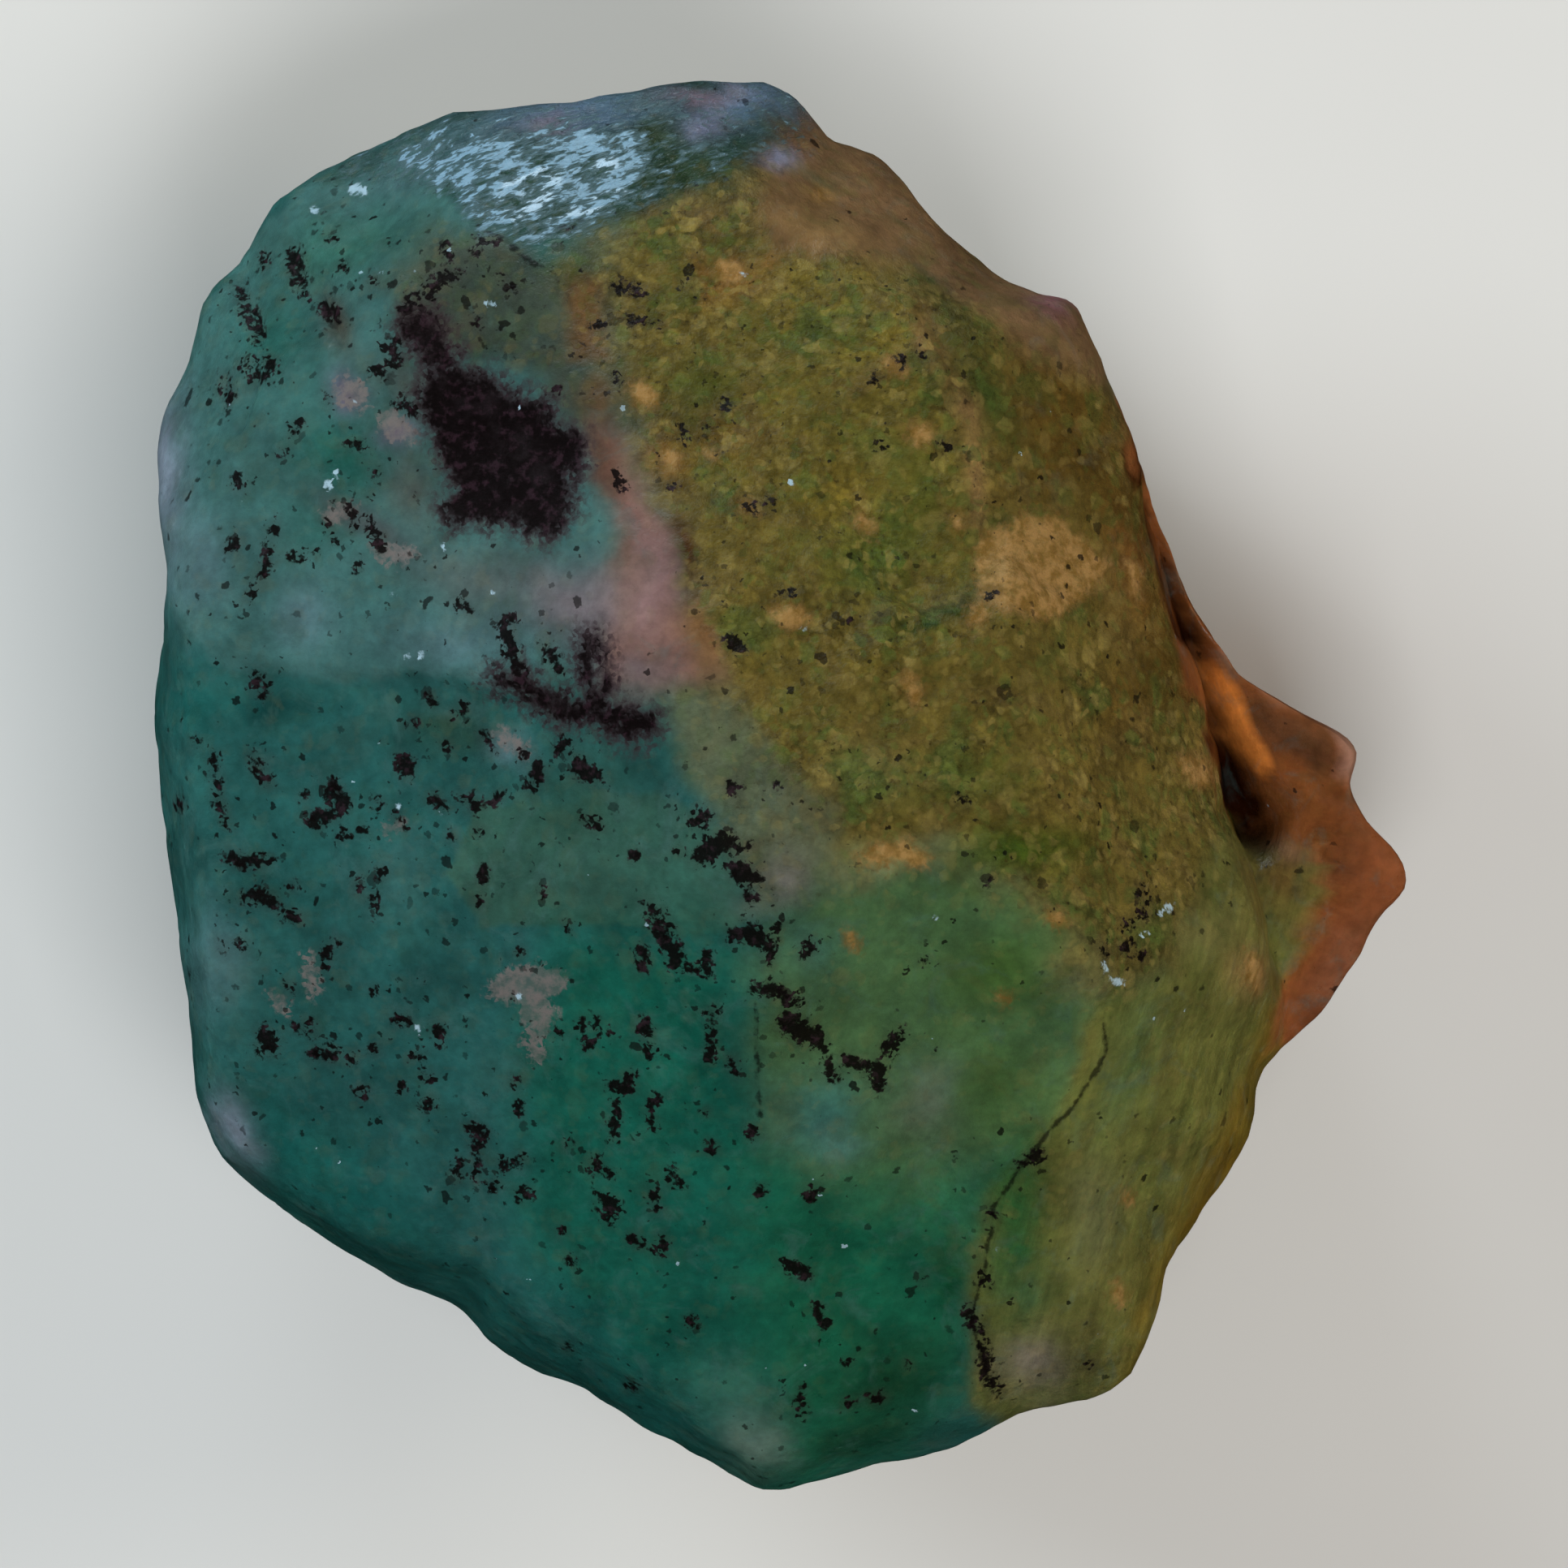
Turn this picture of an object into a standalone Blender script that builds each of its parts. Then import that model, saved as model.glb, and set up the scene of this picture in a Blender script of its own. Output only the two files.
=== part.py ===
"""Rough emerald crystal, a stubby worn hexagonal prism, lying on a flat of its back.

One piece of beryl: a blocky body with broad faces, and a low shelf that juts from its right side.
Its surface is worked out along rays from a heart inside it. Each ray ends at the nearest of the
stone's faces, blended so that the edges come out worn round, and at the stone's outline.
Hollows, swells, steps and grooves are then let into that surface.

Frame: metres, +Z up. The origin is under the middle of the stone, on the surface it lies on.
"""

import itertools
import math

import bmesh
import bpy
import numpy as np

MM = 0.001

# ---- driving dimensions, in mm ----
STONE_NAME = "emerald_crystal"
HEART = np.array([-1.0, 0.0, 11.0])
EDGE_SHARPNESS = 48.0
WALL_SHARPNESS = 70.0
SHELF_JOIN_SHARPNESS = 60.0
OUTLINE_SOFTNESS_DEG = 0.9

# The widest level of the side wall is at GIRDLE_HEIGHT, and swings by GIRDLE_SWING round the stone.
GIRDLE_HEIGHT = 11.5
GIRDLE_SWING = 2.5
GIRDLE_SWING_DEG = 30.0
WALL_BELLY = 19.0

# Faces of the body: the way each looks in plan (degrees from +X), its tilt from straight up
# (degrees), and its distance from the heart (mm).
BODY_FACES = {
    "upper left": (153.0, 23.0, 14.7),
    "left": (191.0, 21.5, 13.9),
    "lower left": (232.0, 31.0, 14.4),
    "upper right": (74.0, 22.5, 14.8),
    "right": (38.0, 23.0, 14.1),
    "lower": (283.0, 31.5, 14.8),
    "right prism": (323.0, 57.0, 17.0),
    "right prism foot": (330.0, 80.0, 17.8),
    "top end": (98.0, 46.0, 19.9),
    "top left corner": (142.0, 60.0, 20.2),
    "upper right bevel": (59.0, 62.0, 18.4),
    "right bevel": (18.0, 50.0, 14.6),
    "right wall": (15.4, 88.0, 14.6),
    "left shoulder": (180.0, 62.0, 19.6),
    "lower left bevel": (239.0, 66.0, 19.2),
    "bottom tip": (274.0, 60.0, 20.9),
    "under right": (5.0, 118.0, 15.5),
    "under lower right": (310.0, 122.0, 16.6),
    "under lower": (262.0, 127.0, 16.6),
    "under left": (205.0, 121.0, 16.6),
    "under upper left": (150.0, 125.0, 16.6),
    "under top": (96.0, 119.0, 18.0),
    "under upper right": (50.0, 124.0, 15.8),
}

# Faces of the shelf, which lies behind the body and reaches out past it on the right.
SHELF_FACES = {
    "shelf top": (20.0, 8.0, 2.8),
    "shelf lower top": (325.0, 24.0, 6.4),
    "shelf upper side": (58.0, 78.0, 14.8),
    "shelf tip": (0.0, 88.0, 22.5),
    "shelf lower side": (318.0, 84.0, 20.5),
    "shelf lower end": (286.0, 104.0, 12.2),
    "shelf under": (2.0, 131.0, 18.4),
    "shelf under lower": (318.0, 122.0, 17.4),
    "shelf back left": (180.0, 90.0, 8.0),
    "shelf back top": (110.0, 80.0, 9.0),
    "shelf back bottom": (240.0, 90.0, 9.0),
    "shelf floor": (0.0, 180.0, 9.5),
}

# Corners of the outline seen from above, in mm, going anticlockwise from the shelf's tip.
OUTLINE = [
    (20.0, -2.6), (19.6, -1.9), (18.8, -1.0), (18.1, 0.1), (18.4, 0.8), (18.4, 1.3), (17.7, 2.0),
    (16.4, 2.7), (14.6, 3.6), (14.0, 4.5), (13.0, 5.9), (12.3, 7.8), (11.4, 10.5), (10.8, 12.2),
    (10.0, 14.1), (9.4, 15.5), (8.1, 15.7), (6.9, 16.2), (4.5, 18.5), (3.9, 19.4), (3.2, 20.0),
    (1.4, 20.9), (0.4, 22.1), (-0.8, 22.4), (-3.4, 22.4), (-6.2, 21.8), (-10.1, 21.5),
    (-12.9, 20.4), (-15.3, 19.3), (-16.2, 18.6), (-17.3, 16.6), (-18.4, 15.6), (-18.7, 14.2),
    (-19.1, 13.2), (-19.8, 11.6), (-20.0, 9.8), (-19.9, 8.5), (-19.6, 7.2), (-19.5, 5.9),
    (-19.8, 3.6), (-20.0, 1.8), (-19.5, -2.0), (-18.9, -6.6), (-18.7, -9.6), (-17.9, -11.8),
    (-15.5, -13.8), (-12.1, -15.9), (-10.2, -16.6), (-9.4, -17.7), (-8.1, -18.5), (-6.6, -19.0),
    (-4.8, -20.3), (-1.8, -21.8), (-0.6, -22.5), (1.5, -22.0), (5.2, -21.1), (6.5, -20.6),
    (7.4, -20.0), (9.9, -19.5), (11.2, -18.8), (11.9, -17.3), (12.2, -16.1), (12.8, -14.6),
    (14.3, -12.2), (15.1, -10.9), (15.2, -9.2), (15.6, -8.5), (16.8, -7.8), (17.5, -7.0),
    (18.2, -5.8), (18.9, -4.5), (19.9, -3.5),
]

# Swells (+) and hollows (-) of the surface: plan position, reach across and rise, in mm.
SWELLS = {
    "scoop above the step": (4.3, 8.3, 3.0, -0.7),
    "hollow beside the ridge": (-1.6, 12.0, 3.0, -0.35),
    "dark hollow": (-8.2, 10.4, 2.6, -0.4),
    "swell under the hollow": (-5.5, 4.6, 3.2, 0.35),
    "swell at the right edge": (12.6, 2.8, 2.2, 0.3),
    "hollow by the crack": (5.6, -13.2, 2.2, -0.5),
    "pale swell at the tip": (-0.5, -19.6, 2.6, 0.6),
    "left lobe": (-18.2, 9.6, 3.0, 0.5),
    "shelf rim": (17.2, 1.6, 1.2, 0.7),
    "shelf lobe": (16.2, -3.0, 1.5, 0.8),
    "shelf tip swell": (18.7, -3.2, 1.3, 0.5),
    "lower left hollow": (-9.5, -15.0, 3.0, -0.6),
}

# Slow waves over the whole stone: wavelength and height, in mm.
WAVES = [(9.0, 0.42), (4.3, 0.20), (2.2, 0.09)]

# Steps between growth layers: the line of the riser in plan, the height it drops by to its
# right-hand side, and the distance over which the lower side climbs back.
STEPS = {
    "under the upper left plate": (
        [(-20.0, 5.6), (-17.6, 4.0), (-15.4, 3.6), (-12.0, 3.6), (-9.0, 3.0), (-6.6, 2.4)],
        0.45, 4.5,
    ),
    "below the scoop": ([(3.0, 6.2), (4.4, 5.4), (6.2, 6.1), (7.2, 7.4)], -0.5, 2.6),
    "across the left face": ([(-9.6, -4.3), (-5.0, -4.4), (-0.9, -4.6)], 0.18, 3.5),
    "down the left face": ([(-0.8, -11.4), (-0.7, -8.0), (-0.9, -5.0)], -0.18, 3.0),
    "beside the raised plate": (
        [(6.4, 7.0), (6.8, 9.8), (5.3, 13.0), (3.9, 15.5), (1.0, 16.6)], 0.3, 2.6,
    ),
}
RISER_WIDTH = 0.45

# Grooves in the shelf's top, in mm: the bed in plan, then half width and depth at its two ends.
# They fade out towards GROOVED_BELOW, so that they don't climb the body's wall.
GROOVES = {
    "cleft along the right wall": (
        [(11.5, 9.6), (12.0, 7.2), (12.7, 5.2), (12.9, 3.1), (13.9, 0.6), (14.7, -1.2)],
        (0.4, 1.0), (0.5, 3.2),
    ),
    "under the shelf's rim": ([(14.9, 2.5), (16.6, 0.9), (17.6, 0.2)], (0.4, 0.5), (0.3, 0.7)),
    "beside the lobe": ([(17.2, -1.7), (17.6, -3.0), (17.8, -4.4)], (0.4, 0.35), (0.9, 0.6)),
}
GROOVED_BELOW = 14.5
GROOVE_FADE = 1.5

# Rays are drawn together round the level at which they graze the shelf's top: the compass angle
# and rise of the middle and the reach of the pull each way, in degrees, and its strength.
CROWDING_DEG = (-4.0, 2.0, 26.0, 7.0)
CROWDING_PULL = 0.8

STONE_TRIANGLES = 9400
SPHERE_SUBDIVISIONS = 6


def lattice_noise(points, size, seed):
    """Smooth noise from -1 to 1: chance values at the corners of cubes of this size, blended."""
    spot = points / size + seed * np.array([17.31, 5.77, 11.93])
    corner = np.floor(spot).astype(np.int64)
    part = spot - corner
    blend = part**3 * (part * (6 * part - 15) + 10)
    total = np.zeros(len(points))
    for step in itertools.product((0, 1), repeat=3):
        cell = corner + step
        key = cell[:, 0] * 73856093 ^ cell[:, 1] * 19349663 ^ cell[:, 2] * 83492791
        chance = ((key * 1103515245 + 12345) >> 8) % 65536 / 32767.5 - 1
        total += chance * np.where(step, blend, 1 - blend).prod(axis=1)
    return total


def crowd_rays(rays):
    """Draws rays together where they graze the shelf's top, so that it is as finely cut as the
    rest: each ray's rise nears the middle level by a share that falls off as a bell curve."""
    compass, rise, compass_reach, rise_reach = np.radians(CROWDING_DEG)
    angles = np.arctan2(rays[:, 1], rays[:, 0])
    offset = np.arcsin(rays[:, 2]) - rise
    bell = np.exp(-(((angles - compass) / compass_reach) ** 2) - (offset / rise_reach) ** 2)
    level = rise + offset * (1 - CROWDING_PULL * bell)
    across = np.cos(level)
    return np.stack([across * np.cos(angles), across * np.sin(angles), np.sin(level)], 1)


def face_normals(faces):
    """Unit outward normals of the faces, and their distances from the heart."""
    compass, tilt, reach = np.array(list(faces.values())).T
    compass, tilt = np.radians(compass), np.radians(tilt)
    across = np.sin(tilt)
    return np.stack([across * np.cos(compass), across * np.sin(compass), np.cos(tilt)], 1), reach


def gauge(rays, faces, sharpness):
    """One over the distance to the faces along each ray: a power mean over the faces, which
    rounds the edge between two of them the more, the lower the sharpness."""
    normals, reach = face_normals(faces)
    nearness = np.clip(rays @ normals.T / reach, 0, None)
    return (nearness**sharpness).sum(axis=1) ** (1 / sharpness)


def outline_reach(angles):
    """Distance from the heart to the outline, in plan, at each angle: the crossing of the ray
    with the outline's sides, averaged over a few degrees so that the corners are soft."""
    samples = np.radians(np.arange(0, 360, 0.5))
    corners = np.array(OUTLINE) - HEART[:2]
    sides = np.roll(corners, -1, axis=0) - corners
    ray = np.stack([np.cos(samples), np.sin(samples)], 1)[:, None]
    cross = ray[..., 0] * sides[:, 1] - ray[..., 1] * sides[:, 0]
    cross = np.where(abs(cross) < 1e-9, 1e-9, cross)
    along = (corners[:, 0] * sides[:, 1] - corners[:, 1] * sides[:, 0]) / cross
    share = (corners[:, 0] * ray[..., 1] - corners[:, 1] * ray[..., 0]) / cross
    hits = (along > 0) & (share >= -1e-9) & (share <= 1 + 1e-9)
    reach = np.where(hits, along, 0).max(axis=1)
    turns = np.arange(-12, 13) * 0.5
    weights = np.exp(-0.5 * (turns / OUTLINE_SOFTNESS_DEG) ** 2)
    soft = sum(w * np.roll(reach, n - 12) for n, w in enumerate(weights)) / weights.sum()
    return np.interp(angles, samples, soft, period=2 * math.pi)


def wall_gauge(rays, reach):
    """The outline as one more face: a wall that bellies out at the girdle's height."""
    angles = np.arctan2(rays[:, 1], rays[:, 0])
    limit = outline_reach(angles)
    girdle = GIRDLE_HEIGHT + GIRDLE_SWING * np.sin(angles - math.radians(GIRDLE_SWING_DEG))
    height = HEART[2] + rays[:, 2] * reach
    belly = np.clip(1 - 0.5 * ((height - girdle) / WALL_BELLY) ** 2, 0.4, 1)
    return np.hypot(rays[:, 0], rays[:, 1]) / (limit * belly)


def block_points(rays):
    """The stone's bare form: body and shelf joined, then cut by the wall, along each ray."""
    body = gauge(rays, BODY_FACES, EDGE_SHARPNESS)
    shelf = gauge(rays, SHELF_FACES, EDGE_SHARPNESS)
    join = SHELF_JOIN_SHARPNESS
    joined = (body**-join + shelf**-join) ** (-1 / join)
    cut = WALL_SHARPNESS
    reach = 1 / joined
    for _ in range(4):
        reach = (joined**cut + wall_gauge(rays, reach) ** cut) ** (-1 / cut)
    return HEART + rays * reach[:, None]


def path_distance(points, path):
    """Distance in plan from each point to a bent line, how far along it the nearest spot is
    (0 to 1), and whether the point lies on the line's right (-1) or left (+1)."""
    best = np.full(len(points), np.inf)
    along = np.zeros(len(points))
    hand = np.zeros(len(points))
    spans = len(path) - 1
    for n, (start, end) in enumerate(itertools.pairwise(np.array(path))):
        side = end - start
        offset = points[:, :2] - start
        share = np.clip(offset @ side / (side @ side), 0, 1)
        gap = np.linalg.norm(offset - share[:, None] * side, axis=1)
        turn = np.sign(side[0] * offset[:, 1] - side[1] * offset[:, 0])
        nearer = gap < best
        along = np.where(nearer, (n + share) / spans, along)
        hand = np.where(nearer, turn, hand)
        best = np.minimum(gap, best)
    return best, along, hand


def step_rise(points, path, drop, fade):
    """Drop of the surface on a step's right side, steep at the riser and fading with distance
    from it, and fading out towards the two ends of the riser."""
    gap, along, hand = path_distance(points, path)
    riser = 0.5 - 0.5 * np.tanh(hand * gap / RISER_WIDTH)
    ends = np.clip(np.minimum(along, 1 - along) * 6, 0, 1)
    return -drop * riser * np.exp(-((gap / fade) ** 2)) * ends


def add_relief(points, rays):
    """Moves the points by the slow waves, the swells, the hollows and the steps."""
    rise = np.zeros(len(points))
    for seed, (size, height) in enumerate(WAVES):
        rise += height * lattice_noise(points, size, seed + 1)
    facing = np.clip(rays[:, 2] * 4, 0, 1)
    for x, y, across, height in SWELLS.values():
        gap = np.hypot(points[:, 0] - x, points[:, 1] - y) / across
        rise += facing * height * np.exp(-(gap**2))
    for path, drop, fade in STEPS.values():
        rise += facing * step_rise(points, path, drop, fade)
    return points + rays * rise[:, None]


def fit_outline(points):
    """Stretches the stone in plan, a little and mostly near its rim, until its silhouette from
    above is the outline."""
    offset = points[:, :2] - HEART[:2]
    angles = np.arctan2(offset[:, 1], offset[:, 0])
    spread = np.linalg.norm(offset, axis=1)
    bins = 180
    place = np.floor((angles / (2 * math.pi)) * bins).astype(int) % bins
    widest = np.zeros(bins)
    np.maximum.at(widest, place, spread)
    centres = (np.arange(bins) + 0.5) * 2 * math.pi / bins
    excess = outline_reach(centres) / widest - 1
    excess = (np.roll(excess, 1) + 4 * excess + np.roll(excess, -1)) / 6
    share = (spread / np.interp(angles, centres, widest, period=2 * math.pi)) ** 3
    stretch = 1 + share * np.interp(angles, centres, excess, period=2 * math.pi)
    fitted = points.copy()
    fitted[:, :2] = HEART[:2] + offset * stretch[:, None]
    return fitted


def cut_grooves(points, rays):
    """Lowers the shelf's top along the beds of the grooves."""
    facing = np.clip(rays[:, 2] * 6 + 1, 0, 1)
    low = np.clip((GROOVED_BELOW - points[:, 2]) / GROOVE_FADE, 0, 1)
    lowered = points.copy()
    for bed, widths, depths in GROOVES.values():
        gap, along, _ = path_distance(points, bed)
        width = np.interp(along, (0, 1), widths)
        depth = np.interp(along, (0, 1), depths)
        lowered[:, 2] -= depth * np.exp(-((gap / width) ** 2)) * facing * low
    return lowered


def stone_points(rays):
    """The finished surface, in mm, with its box centred over the origin."""
    points = add_relief(block_points(rays), rays)
    points = cut_grooves(fit_outline(fit_outline(points)), rays)
    points[:, :2] -= (points[:, :2].max(axis=0) + points[:, :2].min(axis=0)) / 2
    return points


def make_stone():
    """A sphere whose points are moved out along their rays to the stone's surface."""
    shape = bmesh.new()
    bmesh.ops.create_icosphere(shape, subdivisions=SPHERE_SUBDIVISIONS, radius=1)
    rays = np.array([v.co for v in shape.verts])
    rays = crowd_rays(rays / np.linalg.norm(rays, axis=1)[:, None])
    points = stone_points(rays) * MM
    for vertex, point in zip(shape.verts, points):
        vertex.co = point
    geometry = [*shape.verts, *shape.edges, *shape.faces]
    cut = bmesh.ops.bisect_plane(
        shape, geom=geometry, plane_co=(0, 0, 0), plane_no=(0, 0, -1), clear_outer=True
    )
    rim = [e for e in cut["geom_cut"] if isinstance(e, bmesh.types.BMEdge)]
    bmesh.ops.holes_fill(shape, edges=rim)
    mesh = bpy.data.meshes.new(STONE_NAME)
    bmesh.ops.recalc_face_normals(shape, faces=shape.faces)
    bmesh.ops.triangulate(shape, faces=shape.faces)
    shape.to_mesh(mesh)
    count = len(mesh.polygons)
    shape.free()
    stone = bpy.data.objects.new(STONE_NAME, mesh)
    thin = stone.modifiers.new("fewer triangles", "DECIMATE")
    thin.ratio = STONE_TRIANGLES / count
    mesh.shade_smooth()
    return stone


def emerald_material():
    material = bpy.data.materials.new("emerald")
    material.use_nodes = True
    shader = material.node_tree.nodes["Principled BSDF"]
    shader.inputs["Base Color"].default_value = (0.03, 0.13, 0.10, 1)
    shader.inputs["Roughness"].default_value = 0.35
    shader.inputs["Metallic"].default_value = 0
    return material


def main():
    for obj in list(bpy.data.objects):
        bpy.data.objects.remove(obj)
    parts = bpy.data.collections.new("emerald crystal")
    bpy.context.scene.collection.children.link(parts)
    stone = make_stone()
    stone.data.materials.append(emerald_material())
    parts.objects.link(stone)


main()
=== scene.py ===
"""Finished surface of the rough emerald crystal, and a plain studio around it.

The stone is one closed surface, worked out along rays from a heart inside it. Its colour zones,
mica flecks and pale patches are laid out in plan, in millimetres, in the stone's own frame:
+Z up, +Y along its length, the origin under its middle on the surface it lies on.
"""

import itertools
import math

import bpy
import numpy as np
from bpy.props import FloatProperty, FloatVectorProperty, PointerProperty
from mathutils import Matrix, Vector


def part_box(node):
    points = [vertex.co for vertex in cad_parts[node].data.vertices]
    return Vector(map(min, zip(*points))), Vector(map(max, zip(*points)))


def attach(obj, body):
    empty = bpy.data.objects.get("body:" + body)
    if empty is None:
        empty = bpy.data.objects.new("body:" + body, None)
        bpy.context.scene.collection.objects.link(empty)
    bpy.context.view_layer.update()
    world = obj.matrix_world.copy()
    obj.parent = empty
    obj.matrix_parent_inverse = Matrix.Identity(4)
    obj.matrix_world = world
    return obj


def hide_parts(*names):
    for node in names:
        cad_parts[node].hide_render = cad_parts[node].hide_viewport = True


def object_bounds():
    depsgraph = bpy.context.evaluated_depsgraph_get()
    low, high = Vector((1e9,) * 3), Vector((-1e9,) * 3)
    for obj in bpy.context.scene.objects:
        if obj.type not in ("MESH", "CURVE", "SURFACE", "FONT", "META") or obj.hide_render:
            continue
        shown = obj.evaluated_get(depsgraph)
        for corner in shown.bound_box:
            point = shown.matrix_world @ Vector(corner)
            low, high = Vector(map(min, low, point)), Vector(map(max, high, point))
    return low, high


bl_info = {
    "name": "Rough emerald crystal",
    "version": (1, 0, 0),
    "blender": (4, 5, 0),
    "location": "3D View > Sidebar > Emerald",
    "description": "Builds a rough, cloudy emerald crystal and a plain studio for it",
    "category": "Add Mesh",
}

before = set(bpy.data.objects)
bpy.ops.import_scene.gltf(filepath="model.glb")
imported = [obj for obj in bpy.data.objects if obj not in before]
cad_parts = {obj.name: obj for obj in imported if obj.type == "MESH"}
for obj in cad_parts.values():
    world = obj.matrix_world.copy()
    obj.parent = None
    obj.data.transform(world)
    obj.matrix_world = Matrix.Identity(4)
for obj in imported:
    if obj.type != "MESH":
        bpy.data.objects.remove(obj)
CAD_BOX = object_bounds()

STONE_NODE = "emerald_crystal"
MM = 0.001
TINY = 1e-9

# ---- form, in mm ----
HEART = np.array([-1.0, 0.0, 11.0])
EDGE_SHARPNESS = 48.0
WALL_SHARPNESS = 70.0
SHELF_JOIN_SHARPNESS = 60.0

# The outline is measured every OUTLINE_STEP_DEG, and each measure is averaged with OUTLINE_SPREAD
# others on either side, weighed by a bell curve of OUTLINE_SOFTNESS_DEG.
OUTLINE_SOFTNESS_DEG = 0.9
OUTLINE_STEP_DEG = 0.5
OUTLINE_SPREAD = 12

# The widest level of the side wall is at GIRDLE_HEIGHT, and swings by GIRDLE_SWING round the stone.
GIRDLE_HEIGHT = 11.5
GIRDLE_SWING = 2.5
GIRDLE_SWING_DEG = 30.0
WALL_BELLY = 19.0

# Faces of the body: the way each looks in plan (degrees from +X), its tilt from straight up
# (degrees), and its distance from the heart (mm).
BODY_FACES = {
    "upper left": (153.0, 23.0, 14.7),
    "left": (191.0, 21.5, 13.9),
    "lower left": (232.0, 31.0, 14.4),
    "upper right": (74.0, 22.5, 14.8),
    "right": (38.0, 23.0, 14.1),
    "lower": (283.0, 31.5, 14.8),
    "right prism": (323.0, 57.0, 17.0),
    "right prism foot": (330.0, 80.0, 17.8),
    "top end": (98.0, 46.0, 19.9),
    "top left corner": (142.0, 60.0, 20.2),
    "upper right bevel": (59.0, 62.0, 18.4),
    "right bevel": (18.0, 50.0, 14.6),
    "right wall": (15.4, 88.0, 14.6),
    "left shoulder": (180.0, 62.0, 19.6),
    "lower left bevel": (239.0, 66.0, 19.2),
    "bottom tip": (274.0, 60.0, 20.9),
    "under right": (5.0, 118.0, 15.5),
    "under lower right": (310.0, 122.0, 16.6),
    "under lower": (262.0, 127.0, 16.6),
    "under left": (205.0, 121.0, 16.6),
    "under upper left": (150.0, 125.0, 16.6),
    "under top": (96.0, 119.0, 18.0),
    "under upper right": (50.0, 124.0, 15.8),
}

# Faces of the shelf, which lies behind the body and reaches out past it on the right.
SHELF_FACES = {
    "shelf top": (20.0, 8.0, 2.8),
    "shelf lower top": (325.0, 24.0, 6.4),
    "shelf upper side": (58.0, 78.0, 14.8),
    "shelf tip": (0.0, 88.0, 22.5),
    "shelf lower side": (318.0, 84.0, 20.5),
    "shelf lower end": (286.0, 104.0, 12.2),
    "shelf under": (2.0, 131.0, 18.4),
    "shelf under lower": (318.0, 122.0, 17.4),
    "shelf back left": (180.0, 90.0, 8.0),
    "shelf back top": (110.0, 80.0, 9.0),
    "shelf back bottom": (240.0, 90.0, 9.0),
    "shelf floor": (0.0, 180.0, 9.5),
}

# Corners of the outline seen from above, in mm, going anticlockwise from the shelf's tip.
OUTLINE = [
    (20.0, -2.6), (19.6, -1.9), (18.8, -1.0), (18.1, 0.1), (18.4, 0.8), (18.4, 1.3), (17.7, 2.0),
    (16.4, 2.7), (14.6, 3.6), (14.0, 4.5), (13.0, 5.9), (12.3, 7.8), (11.4, 10.5), (10.8, 12.2),
    (10.0, 14.1), (9.4, 15.5), (8.1, 15.7), (6.9, 16.2), (4.5, 18.5), (3.9, 19.4), (3.2, 20.0),
    (1.4, 20.9), (0.4, 22.1), (-0.8, 22.4), (-3.4, 22.4), (-6.2, 21.8), (-10.1, 21.5),
    (-12.9, 20.4), (-15.3, 19.3), (-16.2, 18.6), (-17.3, 16.6), (-18.4, 15.6), (-18.7, 14.2),
    (-19.1, 13.2), (-19.8, 11.6), (-20.0, 9.8), (-19.9, 8.5), (-19.6, 7.2), (-19.5, 5.9),
    (-19.8, 3.6), (-20.0, 1.8), (-19.5, -2.0), (-18.9, -6.6), (-18.7, -9.6), (-17.9, -11.8),
    (-15.5, -13.8), (-12.1, -15.9), (-10.2, -16.6), (-9.4, -17.7), (-8.1, -18.5), (-6.6, -19.0),
    (-4.8, -20.3), (-1.8, -21.8), (-0.6, -22.5), (1.5, -22.0), (5.2, -21.1), (6.5, -20.6),
    (7.4, -20.0), (9.9, -19.5), (11.2, -18.8), (11.9, -17.3), (12.2, -16.1), (12.8, -14.6),
    (14.3, -12.2), (15.1, -10.9), (15.2, -9.2), (15.6, -8.5), (16.8, -7.8), (17.5, -7.0),
    (18.2, -5.8), (18.9, -4.5), (19.9, -3.5),
]

# Swells (+) and hollows (-) of the surface: plan position, reach across and rise, in mm.
SWELLS = {
    "scoop above the step": (4.3, 8.3, 3.0, -0.7),
    "hollow beside the ridge": (-1.6, 12.0, 3.0, -0.35),
    "dark hollow": (-8.2, 10.4, 2.6, -0.4),
    "swell under the hollow": (-5.5, 4.6, 3.2, 0.35),
    "swell at the right edge": (12.6, 2.8, 2.2, 0.3),
    "hollow by the crack": (5.6, -13.2, 2.2, -0.5),
    "pale swell at the tip": (-0.5, -19.6, 2.6, 0.6),
    "left lobe": (-18.2, 9.6, 3.0, 0.5),
    "shelf rim": (17.2, 1.6, 1.2, 0.7),
    "shelf lobe": (16.2, -3.0, 1.5, 0.8),
    "shelf tip swell": (18.7, -3.2, 1.3, 0.5),
    "lower left hollow": (-9.5, -15.0, 3.0, -0.6),
}

# Slow waves over the whole stone: wavelength and height, in mm.
WAVES = [(9.0, 0.42), (4.3, 0.20), (2.2, 0.09)]

# Steps between growth layers: the line of the riser in plan, the height it drops by to its
# right-hand side, and the distance over which the lower side climbs back.
STEPS = {
    "under the upper left plate": (
        [(-20.0, 5.6), (-17.6, 4.0), (-15.4, 3.6), (-12.0, 3.6), (-9.0, 3.0), (-6.6, 2.4)],
        0.45, 4.5,
    ),
    "below the scoop": ([(3.0, 6.2), (4.4, 5.4), (6.2, 6.1), (7.2, 7.4)], -0.5, 2.6),
    "across the left face": ([(-9.6, -4.3), (-5.0, -4.4), (-0.9, -4.6)], 0.18, 3.5),
    "down the left face": ([(-0.8, -11.4), (-0.7, -8.0), (-0.9, -5.0)], -0.18, 3.0),
    "beside the raised plate": (
        [(6.4, 7.0), (6.8, 9.8), (5.3, 13.0), (3.9, 15.5), (1.0, 16.6)], 0.3, 2.6,
    ),
}
RISER_WIDTH = 0.28

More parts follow.
